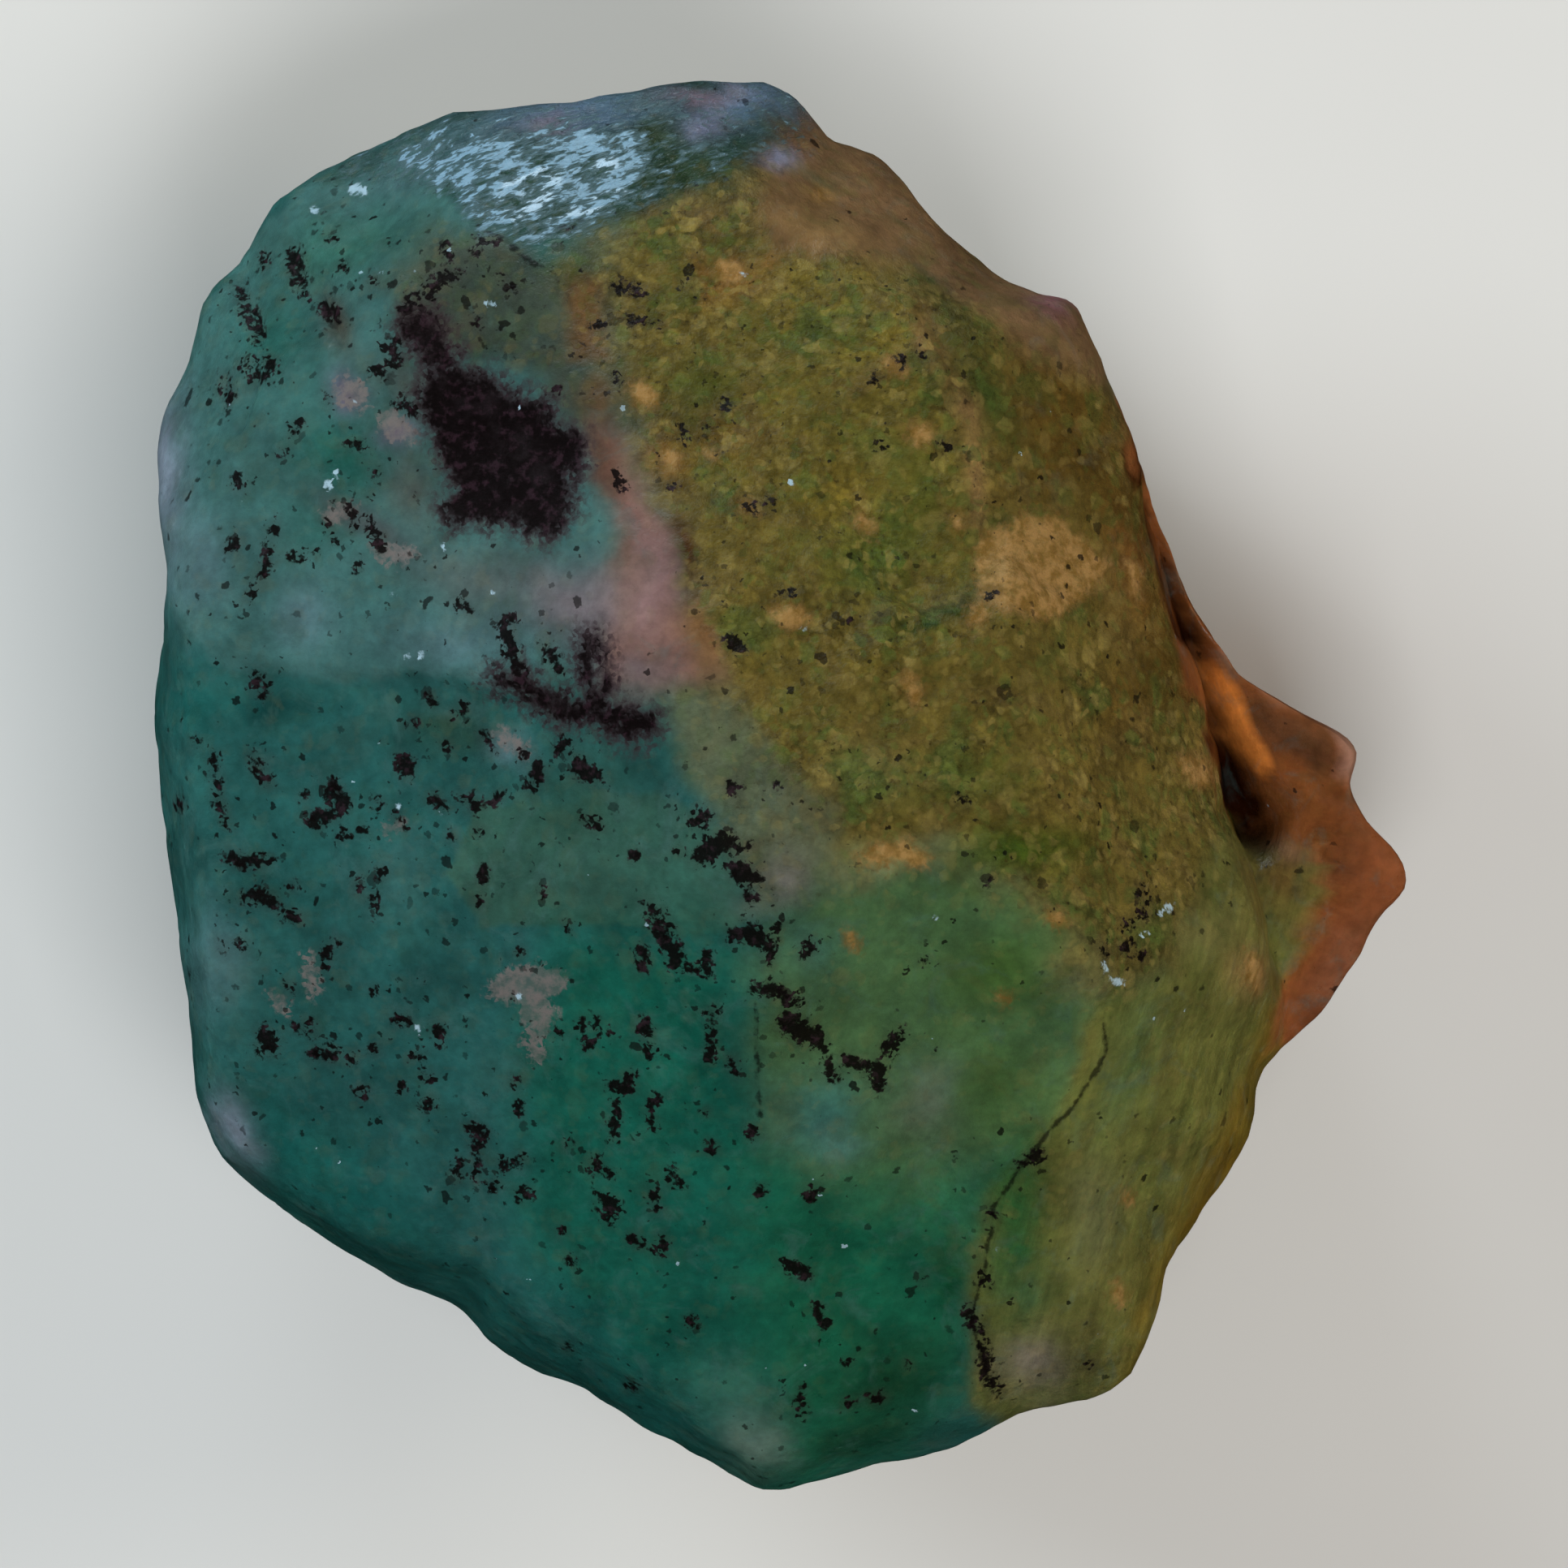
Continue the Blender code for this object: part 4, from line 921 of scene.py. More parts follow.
def add_relief(points, rays):
    """Moves the points by the slow waves, the swells, the hollows and the steps."""
    rise = np.zeros(len(points))
    for seed, (size, height) in enumerate(WAVES):
        rise += height * lattice_noise(points, size, WAVE_SEED + seed)
    facing = come_in(rays, RELIEF_RISE)
    for x, y, across, height in SWELLS.values():
        gap = np.hypot(points[:, 0] - x, points[:, 1] - y) / across
        rise += facing * height * np.exp(-(gap**2))
    for path, drop, fade in STEPS.values():
        rise += facing * step_rise(points, path, drop, fade)
    return points + rays * rise[:, None]


def plan_view(points):
    """The points' offset from the heart in plan, its length and angle, and its compass bin."""
    offset = points[:, :2] - HEART[:2]
    angles = np.arctan2(offset[:, 1], offset[:, 0])
    place = np.floor(angles / (2 * math.pi) * COMPASS_BINS).astype(int) % COMPASS_BINS
    return offset, np.linalg.norm(offset, axis=1), angles, place


def compass_middles():
    """The angle in the middle of each compass bin."""
    return (np.arange(COMPASS_BINS) + 0.5) * 2 * math.pi / COMPASS_BINS


def round_compass(angles, values):
    """At any angles, what values of the compass bins give between the bins' middles."""
    return np.interp(angles, compass_middles(), values, period=2 * math.pi)


def smooth(values, middle):
    """Mean of each bin and its two neighbours, in which the bin itself weighs middle times."""
    return (np.roll(values, 1) + middle * values + np.roll(values, -1)) / (2 + middle)


def fit_outline(points):
    """Stretches the stone in plan, a little and mostly near its rim, until its silhouette from
    above is the outline."""
    offset, spread, angles, place = plan_view(points)
    widest = np.zeros(COMPASS_BINS)
    np.maximum.at(widest, place, spread)
    excess = smooth(outline_reach(compass_middles()) / widest - 1, 4)
    share = (spread / round_compass(angles, widest)) ** 3
    stretch = 1 + share * round_compass(angles, excess)
    fitted = points.copy()
    fitted[:, :2] = HEART[:2] + offset * stretch[:, None]
    return fitted


def upper_side(points, rays):
    """1 for what is seen from above, falling to 0 just below the rim, and also below the heart's
    level. The rim's level, in each compass direction, is the rise of the ray that reaches out
    farthest in plan there."""
    _, spread, angles, place = plan_view(points)
    order = np.argsort(spread)
    level = np.zeros(COMPASS_BINS)
    level[place[order]] = rays[order, 2]
    above_rim = rays[:, 2] - round_compass(angles, smooth(level, 1))
    side = np.clip(1 + (above_rim + RIM_MARGIN) / UPPER_FADE, 0, 1)
    return side * np.clip(1 + rays[:, 2] / UPPER_FADE, 0, 1)


def cut_grooves(points, rays):
    """Lowers the shelf's top along the beds of the grooves."""
    facing = come_in(rays, GROOVE_RISE)
    low = np.clip((GROOVED_BELOW - points[:, 2]) / GROOVE_FADE, 0, 1)
    lowered = points.copy()
    for bed, widths, depths in GROOVES.values():
        gap, along, _ = path_distance(points, bed)
        width = np.interp(along, (0, 1), widths)
        depth = np.interp(along, (0, 1), depths)
        lowered[:, 2] -= depth * np.exp(-((gap / width) ** 2)) * facing * low
    return lowered


def turned(points, degrees, length, spacing):
    """Plan coordinates turned by an angle and divided by a length along and a spacing across."""
    turn = math.radians(degrees)
    along = points[:, 0] * math.cos(turn) + points[:, 1] * math.sin(turn)
    across = points[:, 1] * math.cos(turn) - points[:, 0] * math.sin(turn)
    return np.stack([along / length, across / spacing, points[:, 2] / length], 1)


def add_detail(points, rays, masks, look):
    """Fine relief, along the rays: waves everywhere, grain on the upper face, ripples on the end
    face, striations down the prism face, slots where flakes fell out, and the open crack."""
    rise = np.zeros(len(points))
    for seed, (size, height) in enumerate(FINE_WAVES):
        rise += height * lattice_noise(points, size, FINE_SEED + seed)
    for seed, (size, height) in enumerate(GRAIN_WAVES):
        grain = lattice_noise(points, size, GRAIN_SEED + seed)
        rise += look.grain_relief * masks["grain"] * height * grain
    ripples = turned(points, RIPPLE_TURN_DEG, RIPPLE_LENGTH, RIPPLE_SPACING)
    ripples = 1 - 2 * abs(lattice_noise(ripples, 1, RIPPLE_SEED))
    rise += look.ripple_height / MM * masks["end face"] * ripples
    lines = turned(points, STRIATION_TURN_DEG, STRIATION_LENGTH, STRIATION_SPACING)
    lines = lattice_noise(lines, 1, STRIATION_SEED)
    rise += look.striation_height / MM * masks["prism face"] * lines
    facing = come_in(rays, RELIEF_RISE)
    for width, depth, path in SLOTS:
        gap, along, _ = path_distance(points, path)
        taper = np.sqrt(np.clip(4 * along * (1 - along), 0.05, 1))
        rise -= facing * depth * np.exp(-((gap / (width * taper)) ** 2))
    gap, _, _ = path_distance(points, CRACK)
    rise -= facing * CRACK_DEPTH * np.exp(-((gap / CRACK_HALF_WIDTH) ** 2))
    return points + rays * rise[:, None]


def rest_flat(points):
    """Draws what would lie below the rest plane back along its rays, onto that plane."""
    below = points[:, 2] < 0
    share = HEART[2] / (HEART[2] - points[below, 2])
    flat = points.copy()
    flat[below] = HEART + (points[below] - HEART) * share[:, None]
    flat[below, 2] = 0
    return flat


def fit_box(points, low, high):
    """Scales and shifts the stone, in plan, to fill the frame's box, and its height to the top."""
    own_low, own_high = points.min(axis=0), points.max(axis=0)
    return low + (points - own_low) * (high - low) / (own_high - own_low)


def polygon_depth(points, corners):
    """Distance in plan inside a polygon's edge, negative outside: the distance to the nearest
    side, with its sign from the count of sides that a line to the right crosses."""
    corners = np.array(corners)
    gap = np.full(len(points), np.inf)
    inside = np.zeros(len(points), bool)
    for start, end in zip(corners, np.roll(corners, -1, axis=0)):
        side = end - start
        offset = points[:, :2] - start
        share = np.clip(offset @ side / (side @ side), 0, 1)
        gap = np.minimum(gap, np.linalg.norm(offset - share[:, None] * side, axis=1))
        spans = (start[1] > points[:, 1]) != (end[1] > points[:, 1])
        rise = side[1] if side[1] else TINY
        inside ^= spans & (offset[:, 0] < offset[:, 1] * side[0] / rise)
    return np.where(inside, gap, -gap)


def wash_mask(points, centre, half, degrees):
    """A soft oval in plan: a bell curve of the distance, measured in half sizes."""
    turn = math.radians(degrees)
    x, y = points[:, 0] - centre[0], points[:, 1] - centre[1]
    u = (x * math.cos(turn) + y * math.sin(turn)) / half[0]
    v = (y * math.cos(turn) - x * math.sin(turn)) / half[1]
    return np.exp(-WASH_FALL * (u * u + v * v))


def mark_field(points, marks):
    """Distance inside the nearest mark's edge, in mm, negative outside. A mark is one place, for
    a dot, or several, for a stroke that thins towards its ends."""
    field = np.full(len(points), -FAR_OUTSIDE)
    for width, path in ((width, path) for width, paths in marks.items() for path in paths):
        if len(path) == 1:
            edge = width - np.hypot(*(points[:, :2] - path[0]).T)
        else:
            gap, along, _ = path_distance(points, path)
            edge = width * (0.6 + 0.8 * np.sqrt(along * (1 - along))) - gap
        field = np.maximum(field, edge)
    return field


def crack_fields(points):
    """Signed distance across the crack, which passes evenly through nought on the line, and the
    half width of the dark line there: below nought at and past the crack's two ends."""
    gap, along, hand = path_distance(points, CRACK)
    ends = np.clip(np.minimum(along, 1 - along) * CRACK_TAPER, 0, 1)
    return hand * gap, (CRACK_LINE_HALF_WIDTH + CRACK_END_GAP) * ends - CRACK_END_GAP


def ragged(points, sizes_and_shifts):
    """Points pushed about by noise, so that what is laid out on them has a natural edge."""
    moved = points.copy()
    for seed, (size, shift) in enumerate(sizes_and_shifts):
        for axis in range(2):
            moved[:, axis] += shift * lattice_noise(points, size, EDGE_SEED + 2 * seed + axis)
    return moved


def lay_zones(points, upper):
    """Colour, grain and specks of each point: the zones painted over each other in order, then
    the washes, which are on the upper side only. Also the masks that the relief needs."""
    edges = ragged(points, ZONE_EDGE_WAVES)
    colour_name, grain, specks = BASE_ZONE
    tint = np.tile(PALETTE[colour_name], (len(points), 1))
    shares = np.tile([grain, specks], (len(points), 1))
    masks = {}
    for name, colour_name, strength, softness, grain, specks, corners in ZONES:
        mask = ease(polygon_depth(edges, corners), -softness, softness)
        masks[name] = mask
        tint += (strength * mask)[:, None] * (np.array(PALETTE[colour_name]) - tint)
        shares += mask[:, None] * (np.array([grain, specks]) - shares)
    for colour_name, strength, centre, half, degrees in WASHES:
        mask = strength * upper * wash_mask(edges, centre, half, degrees)
        tint += mask[:, None] * (np.array(PALETTE[colour_name]) - tint)
    masks["grain"] = shares[:, 0]
    masks["specks"] = shares[:, 1]
    depth = polygon_depth(edges, PAINTED_GLITTER)
    masks["painted_glitter"] = upper * ease(depth, -PAINTED_GLITTER_SOFTNESS, PAINTED_GLITTER_SOFTNESS)
    return tint, masks


# ---- node helpers ----
def add_node(tree, kind, inputs=None, **settings):
    """A node with its settings; an input is linked if it's a socket, and set if it's a value."""
    node = tree.nodes.new(kind)
    for name, value in settings.items():
        setattr(node, name, value)
    for key, value in (inputs or {}).items():
        if isinstance(value, bpy.types.NodeSocket):
            tree.links.new(value, node.inputs[key])
        else:
            node.inputs[key].default_value = value
    return node


def mix_colour(tree, share, first, second, blend="MIX"):
    """Two colours blended, the second one as much as share says."""
    inputs = {"Factor": share, 6: first, 7: second}
    node = add_node(tree, "ShaderNodeMix", inputs, data_type="RGBA", blend_type=blend)
    return node.outputs[2]


def combine(tree, operation, first, second=0.0, third=0.0, clamp=False):
    """One sum on up to three values."""
    inputs = {0: first, 1: second, 2: third}
    node = add_node(tree, "ShaderNodeMath", inputs, operation=operation, use_clamp=clamp)
    return node.outputs[0]


def times(tree, first, second):
    return combine(tree, "MULTIPLY", first, second)


def times_plus(tree, first, second, third):
    """The first value times the second, plus the third."""
    return combine(tree, "MULTIPLY_ADD", first, second, third)


def span(tree, value, low, high, to_low=0.0, to_high=1.0):
    """The value's share of the way from low to high, eased and clamped, as a new range."""
    inputs = {"Value": value, 1: low, 2: high, 3: to_low, 4: to_high}
    node = add_node(tree, "ShaderNodeMapRange", inputs, interpolation_type="SMOOTHSTEP")
    return node.outputs[0]


def noise(tree, spot, scale, detail=3.0, roughness=0.55, distortion=0.0):
    """Cloudy noise from 0 to 1, with so many lumps per mm."""
    inputs = {
        "Vector": spot, "Scale": scale, "Detail": detail, "Roughness": roughness,
        "Distortion": distortion,
    }
    return add_node(tree, "ShaderNodeTexNoise", inputs).outputs["Fac"]


def mosaic(tree, spot, scale):
    """Three chance values for each cell of a mosaic, and the distance from the cell's heart."""
    node = add_node(tree, "ShaderNodeTexVoronoi", {"Vector": spot, "Scale": scale})
    chance = add_node(tree, "ShaderNodeSeparateColor", {0: node.outputs["Color"]}).outputs
    return chance, node.outputs["Distance"]


def streaks(tree, place, degrees, lengths, distortion):
    """Noise drawn out along a direction in plan: its lumps have these lengths, in mm, along it,
    across it and down."""
    spot = add_node(tree, "ShaderNodeMapping", {
        "Vector": place, "Rotation": (0, 0, math.radians(degrees)), "Scale": lengths},
        vector_type="TEXTURE").outputs[0]
    return noise(tree, spot, 1.0, 3.0, 0.6, distortion)


def attribute(tree, name, output="Fac"):
    """A value or a colour that is stored in the mesh."""
    return add_node(tree, "ShaderNodeAttribute", attribute_name=name).outputs[output]


def lighten(tree, colour, field, low, high, below, above, share=1.0):
    """Multiplies a colour by a field, spread from below to above, as much as share says."""
    change = span(tree, field, low, high, below - 1, above - 1)
    factor = combine(tree, "ADD", times(tree, change, share), 1.0)
    grey = add_node(tree, "ShaderNodeCombineXYZ", {0: factor, 1: factor, 2: factor}).outputs[0]
    return mix_colour(tree, 1.0, colour, grey, "MULTIPLY")


def cover(tree, colour, mask, strength, over):
    """Lays a colour, or another colour socket, over the first, by a mask and a strength."""
    over = over if isinstance(over, bpy.types.NodeSocket) else (*over, 1)
    return mix_colour(tree, times(tree, mask, strength), colour, over)


# ---- node groups ----
def new_group(name, inputs):
    """An empty shader node group with these float or vector inputs, and a mask as its output."""
    tree = bpy.data.node_groups.new(name, "ShaderNodeTree")
    for label, (kind, default) in inputs.items():
        socket = tree.interface.new_socket(label, in_out="INPUT", socket_type=kind)
        if default is not None:
            socket.default_value = default
    tree.interface.new_socket("Mask", in_out="OUTPUT", socket_type="NodeSocketFloat")
    return tree, tree.nodes.new("NodeGroupInput").outputs, tree.nodes.new("NodeGroupOutput").inputs


def use_group(tree, group, **inputs):
    """The mask of a group; the names of its inputs are given with _ for each space."""
    keys = {name.replace("_", " "): value for name, value in inputs.items()}
    return add_node(tree, "ShaderNodeGroup", keys, node_tree=group).outputs[0]


def torn_edge_group():
    """Turns a mark's soft field into a mask with a torn edge: the field is offset by a tear
    noise, as much as the raggedness says, and then cut at zero, softly."""
    tree, source, target = new_group("torn edge", {
        "Field": ("NodeSocketFloat", 0.0),
        "Tear": ("NodeSocketFloat", 0.0),
        "Raggedness mm": ("NodeSocketFloat", 0.2),
        "Softness mm": ("NodeSocketFloat", 0.04),
    })
    edge = times_plus(tree, source["Tear"], source["Raggedness mm"], source["Field"])
    edge = combine(tree, "DIVIDE", edge, source["Softness mm"])
    tree.links.new(span(tree, edge, -1.0, 1.0), target["Mask"])
    return tree


def specks_group():
    """Scattered specks: in the share of a mosaic's cells that Share gives, a spot of chance size
    round the cell's heart, its outline bent by noise."""
    tree, source, target = new_group("specks", {
        "Place": ("NodeSocketVector", None),
        "Cells per mm": ("NodeSocketFloat", 3.0),
        "Share": ("NodeSocketFloat", 0.5),
    })
    place, scale = source["Place"], source["Cells per mm"]
    bend = add_node(tree, "ShaderNodeTexNoise", {"Vector": place, "Scale": times(tree, scale, 1.6)})
    bend = add_node(tree, "ShaderNodeVectorMath", {
        0: bend.outputs["Color"], 1: (0.5, 0.5, 0.5)}, operation="SUBTRACT")
    bend = add_node(tree, "ShaderNodeVectorMath", {
        0: bend.outputs[0], "Scale": combine(tree, "DIVIDE", 1.1, scale)}, operation="SCALE")
    spot = add_node(tree, "ShaderNodeVectorMath", {0: place, 1: bend.outputs[0]}).outputs[0]
    chance, distance = mosaic(tree, spot, scale)
    chosen = combine(tree, "LESS_THAN", chance[0], source["Share"])
    radius = times_plus(tree, times(tree, chance[1], chance[1]), 0.30, 0.14)
    inside = combine(tree, "SUBTRACT", radius, distance)
    mask = times(tree, chosen, span(tree, inside, -0.03, 0.05))
    strength = times_plus(tree, chance[2], 0.5, 0.5)
    tree.links.new(times(tree, mask, strength), target["Mask"])
    return tree


# ---- the stone's material ----
class StoneGround:
    """What the layers of the stone's material share: the look, the place in mm, the grain and
    where there is none, fine noise, and a tear noise about zero with a flaky part."""

    def __init__(self, tree, look):
        self.tree, self.look = tree, look
        place = add_node(tree, "ShaderNodeTexCoord").outputs["Object"]
        scale = (1 / MM,) * 3
        self.place = add_node(tree, "ShaderNodeMapping", {"Vector": place, "Scale": scale}).outputs[0]
        self.grain = attribute(tree, "grain")
        self.clear = combine(tree, "SUBTRACT", 1.0, self.grain, clamp=True)
        self.fine = noise(tree, self.place, 2.5, 4.0, 0.68)
        flakes, _ = mosaic(tree, self.place, 6.5)
        torn = times_plus(tree, noise(tree, self.place, 1.9, 4.0, 0.72), 4.4, -2.2)
        self.torn = times_plus(tree, flakes[0], 1.3, combine(tree, "SUBTRACT", torn, 0.65))
        self.edge, self.specks = torn_edge_group(), specks_group()

    def torn_mask(self, field, raggedness, softness):
        return use_group(self.tree, self.edge, Field=field, Tear=self.torn,
                         Raggedness_mm=raggedness, Softness_mm=softness)

    def scatter(self, cells_per_mm, share):
        return use_group(self.tree, self.specks, Place=self.place, Cells_per_mm=cells_per_mm,
                         Share=share)


def clouded(ground):
    """The zones' tint with soft mottling, and milky veils where the stone is clear of grain."""
    tree, place = ground.tree, ground.place
    colour = attribute(tree, "tint", "Color")
    colour = lighten(tree, colour, noise(tree, place, 0.45, 4.0, 0.62), 0.3, 0.7, 0.76, 1.24)
    veil = span(tree, noise(tree, place, 0.6, 4.0, 0.7, 1.0), 0.50, 0.70)
    colour = cover(tree, colour, times(tree, veil, ground.clear), 0.28, ground.look.milk)
    return lighten(tree, colour, ground.fine, 0.34, 0.66, 0.89, 1.11, ground.clear)


def grained(ground, colour):
    """Sugary grain: broad green and ochre patches, then a mosaic of rounded lumps, each with its
    own shade and a darker gap round it, some of them pale or green, then fine crumbs with dark
    pits between them."""
    tree, place, look = ground.tree, ground.place, ground.look
    coarse = span(tree, noise(tree, place, 0.33, 3.0, 0.6), 0.38, 0.56, 0.6, 1.0)
    grain = times(tree, ground.grain, coarse)
    patches = noise(tree, place, 0.5, 3.0, 0.6, 0.5)
    colour = cover(tree, colour, span(tree, patches, 0.53, 0.66, 0.0, 0.6), grain, look.grass)
    colour = cover(tree, colour, span(tree, patches, 0.45, 0.34, 0.0, 0.45), grain, look.ochre)
    push = add_node(tree, "ShaderNodeTexNoise", {"Vector": place, "Scale": 1.5, "Detail": 2.0})
    spot = add_node(tree, "ShaderNodeVectorMath", {
        0: push.outputs["Color"], 1: (0.7, 0.7, 0.7), 2: place}, operation="MULTIPLY_ADD")
    for cells_per_mm, strength in ((1.6, 0.50), (3.3, 0.40)):
        chance, distance = mosaic(tree, spot.outputs[0], cells_per_mm)
        middle = times(tree, span(tree, distance, 0.62, 0.36), grain)
        pale = times(tree, span(tree, chance[1], 0.78, 0.86), middle)
        colour = cover(tree, colour, pale, strength, look.grains)
        green = times(tree, span(tree, chance[1], 0.24, 0.16), middle)
        colour = cover(tree, colour, green, strength, look.grass)
        colour = lighten(tree, colour, chance[0], 0.0, 1.0, 0.88, 1.15, grain)
        colour = lighten(tree, colour, distance, 0.35, 0.85, 1.04, 0.80, grain)
    crumbs = noise(tree, place, 4.0, 3.0, 0.6)
    colour = lighten(tree, colour, crumbs, 0.36, 0.64, 0.86, 1.18, grain)
    pits = times(tree, span(tree, crumbs, 0.36, 0.29), grain)
    return cover(tree, colour, pits, 0.7, look.pits)


def patched(ground, colour):
    """Pale patches, then gold ones, which are lumpy and lightest in the middle."""
    tree, look, fine = ground.tree, ground.look, ground.fine
    pale = ground.torn_mask(attribute(tree, "pale"), 0.24, 0.12)
    colour = cover(tree, colour, pale, span(tree, fine, 0.36, 0.64, 0.35, 0.95), look.pale)
    field = attribute(tree, "gold")
    lumps = span(tree, noise(tree, ground.place, 2.2, 4.0, 0.62), 0.38, 0.62)
    gold = mix_colour(tree, lumps, (*look.gold_shade, 1), (*look.gold, 1))
    core = span(tree, times_plus(tree, fine, 0.5, field), 0.1, 0.55)
    gold = lighten(tree, gold, core, 0.0, 1.0, 0.8, 1.2)
    share = span(tree, fine, 0.34, 0.52, 0.6, 0.92)
    return cover(tree, colour, ground.torn_mask(field, 0.16, 0.28), share, gold)


def flecked(ground, colour, smoke):
    """Black mica: scattered specks, denser near the marks, then a haze round the big patch and a
    stain round the marks, then the marks and the patch themselves, with a lighter sheen."""
    tree, look = ground.tree, ground.look
    share, field, patch_field = (attribute(tree, name) for name in ("specks", "mica", "patch"))
    near = span(tree, field, -1.0, -0.1, 0.0, 0.22)
    small = ground.scatter(3.3, times_plus(tree, share, 0.34, near))
    large = ground.scatter(1.7, times_plus(tree, share, 0.13, times(tree, near, 0.4)))
    colour = cover(tree, colour, combine(tree, "MAXIMUM", small, large), 0.9, look.mica)
    haze = span(tree, times_plus(tree, ground.torn, 0.30, patch_field), -0.75, 0.12, 0.0, 0.92)
    colour = cover(tree, colour, haze, 1.0, look.haze)
    colour = cover(tree, colour, span(tree, field, -0.4, 0.15, 0.0, 0.5), smoke, look.stain)
    marks = ground.torn_mask(field, 0.2, 0.05)
    patch = ground.torn_mask(patch_field, 0.26, 0.26)
    patch = times(tree, patch, span(tree, smoke, 0.30, 0.52, 0.8, 1.0))
    sheen = span(tree, ground.fine, 0.50, 0.66)
    mica = mix_colour(tree, sheen, (*look.mica, 1), (*look.mica_sheen, 1))
    return cover(tree, colour, combine(tree, "MAXIMUM", marks, patch), 0.96, mica)


def cracked(ground, colour):
    """The dark line of the crack, as wide as its reach, and fine hairs, broken up by noise."""
    tree = ground.tree
    side = combine(tree, "ABSOLUTE", attribute(tree, "crack side"))
    crack = combine(tree, "SUBTRACT", attribute(tree, "crack reach"), side)
    crack = combine(tree, "MAXIMUM", crack, attribute(tree, "hair"))
    crack = times_plus(tree, combine(tree, "SUBTRACT", ground.fine, 0.4), 0.5, crack)
    return cover(tree, colour, span(tree, crack, 0.0, 0.14), 0.8, ground.look.mica)


def paint_glint_highlights(ground, colour):
    """Small bright glints, painted highlights, placed and scattered, and their mask."""
    tree = ground.tree
    painted_glint = ground.torn_mask(attribute(tree, "painted_glint"), 0.08, 0.05)
    sparks = ground.scatter(4.0, times(tree, ground.clear, 0.0025))
    painted_glint = combine(tree, "MAXIMUM", painted_glint, sparks)
    return cover(tree, colour, painted_glint, 0.85, ground.look.painted_glint), painted_glint


def paint_glitter_highlight(ground, colour, end_face, ripples):
    """The end face's glitter, a painted highlight: bright where ripples and broader flicker add up,
    with a duller painted sheen round it. Also the mask of the bright part."""
    tree, look = ground.tree, ground.look
    flicker = streaks(tree, ground.place, FLICKER_TURN_DEG, (1.5, 0.55, 0.5), 0.8)
    shine = times_plus(tree, flicker, 0.9, times_plus(tree, ripples, 0.8, -0.35))
    shine = times_plus(tree, attribute(tree, "painted_glitter"), 0.24, shine)
    sheet = times(tree, span(tree, shine, 0.50, 0.70, 0.0, 0.85), end_face)
    colour = cover(tree, colour, sheet, 1.0, look.painted_glitter_sheen)
    painted_glitter = times(tree, span(tree, shine, 0.70, 0.80), end_face)
    return cover(tree, colour, painted_glitter, 1.0, look.painted_glitter), painted_glitter


def emerald_material(look):
    """Cloudy beryl: the zones' tint, mottled and veiled, sugary where the stone is grainy, then
    pale and gold patches, black mica, the crack, and painted highlights on top: bright glints and the
    end face's glitter."""
    material = bpy.data.materials.new("emerald")
    material.use_nodes = True
    tree = material.node_tree
    ground = StoneGround(tree, look)
    end_face, prism = attribute(tree, "polish"), attribute(tree, "lines")
    smoke = noise(tree, ground.place, 0.95, 4.0, 0.7)
    lines = streaks(tree, ground.place, STRIATION_TURN_DEG, (8.0, 0.5, 2.0), 0.2)
    ripples = streaks(tree, ground.place, RIPPLE_TURN_DEG, (0.5, 0.14, 0.5), 0.6)
    colour = grained(ground, clouded(ground))
    colour = lighten(tree, colour, lines, 0.36, 0.64, 0.87, 1.13, prism)
    colour = cracked(ground, flecked(ground, patched(ground, colour), smoke))
    colour, painted_glint = paint_glint_highlights(ground, colour)
    colour, painted_glitter = paint_glitter_highlight(ground, colour, end_face, ripples)

    roughness = times_plus(tree, ground.grain, 0.22, times_plus(tree, smoke, 0.25, 0.18))
    polish = combine(tree, "MAXIMUM", times(tree, painted_glitter, 0.4), painted_glint)
    height = times(tree, ripples, times(tree, end_face, 2.6))
    height = times_plus(tree, ground.fine, times_plus(tree, ground.grain, 1.6, 0.35), height)
    height = times_plus(tree, lines, prism, height)
    bump = add_node(tree, "ShaderNodeBump", {
        "Strength": look.bump, "Distance": 0.1 * MM, "Height": height})
    shader = tree.nodes["Principled BSDF"]
    tree.links.new(colour, shader.inputs["Base Color"])
    tree.links.new(roughness, shader.inputs["Roughness"])
    tree.links.new(times(tree, polish, look.polish), shader.inputs["Coat Weight"])
    tree.links.new(bump.outputs[0], shader.inputs["Normal"])
    for name, value in {
        "Metallic": 0.0,
        "IOR": 1.58,
        "Specular IOR Level": look.gloss,
        "Coat Roughness": 0.14,
        "Coat IOR": 1.58,
        "Subsurface Weight": look.cloudiness,
        "Subsurface Radius": (0.7, 1.0, 0.9),
        "Subsurface Scale": 0.6 * MM,
    }.items():
        shader.inputs[name].default_value = value
    return material


def floor_material(stage):
    """Matt pale paper, a little uneven."""
    material = bpy.data.materials.new("pale floor")
    material.use_nodes = True
    tree = material.node_tree
    place = add_node(tree, "ShaderNodeTexCoord").outputs["Object"]
    patches = noise(tree, place, 60.0, 2.0)
    darker = tuple(0.96 * value for value in stage.floor_colour)
    colour = mix_colour(tree, patches, (*darker, 1), (*stage.floor_colour, 1))
    shader = tree.nodes["Principled BSDF"]
    tree.links.new(colour, shader.inputs["Base Color"])
    shader.inputs["Roughness"].default_value = 0.85
    return material


# ---- pieces ----
def new_mesh(name, points, quads):
    """An object with this mesh, linked to the scene."""
    mesh = bpy.data.meshes.new(name)
    mesh.from_pydata(points.tolist(), [], quads.tolist())
    mesh.update()
    piece = bpy.data.objects.new(name, mesh)
    bpy.context.scene.collection.objects.link(piece)
    return piece


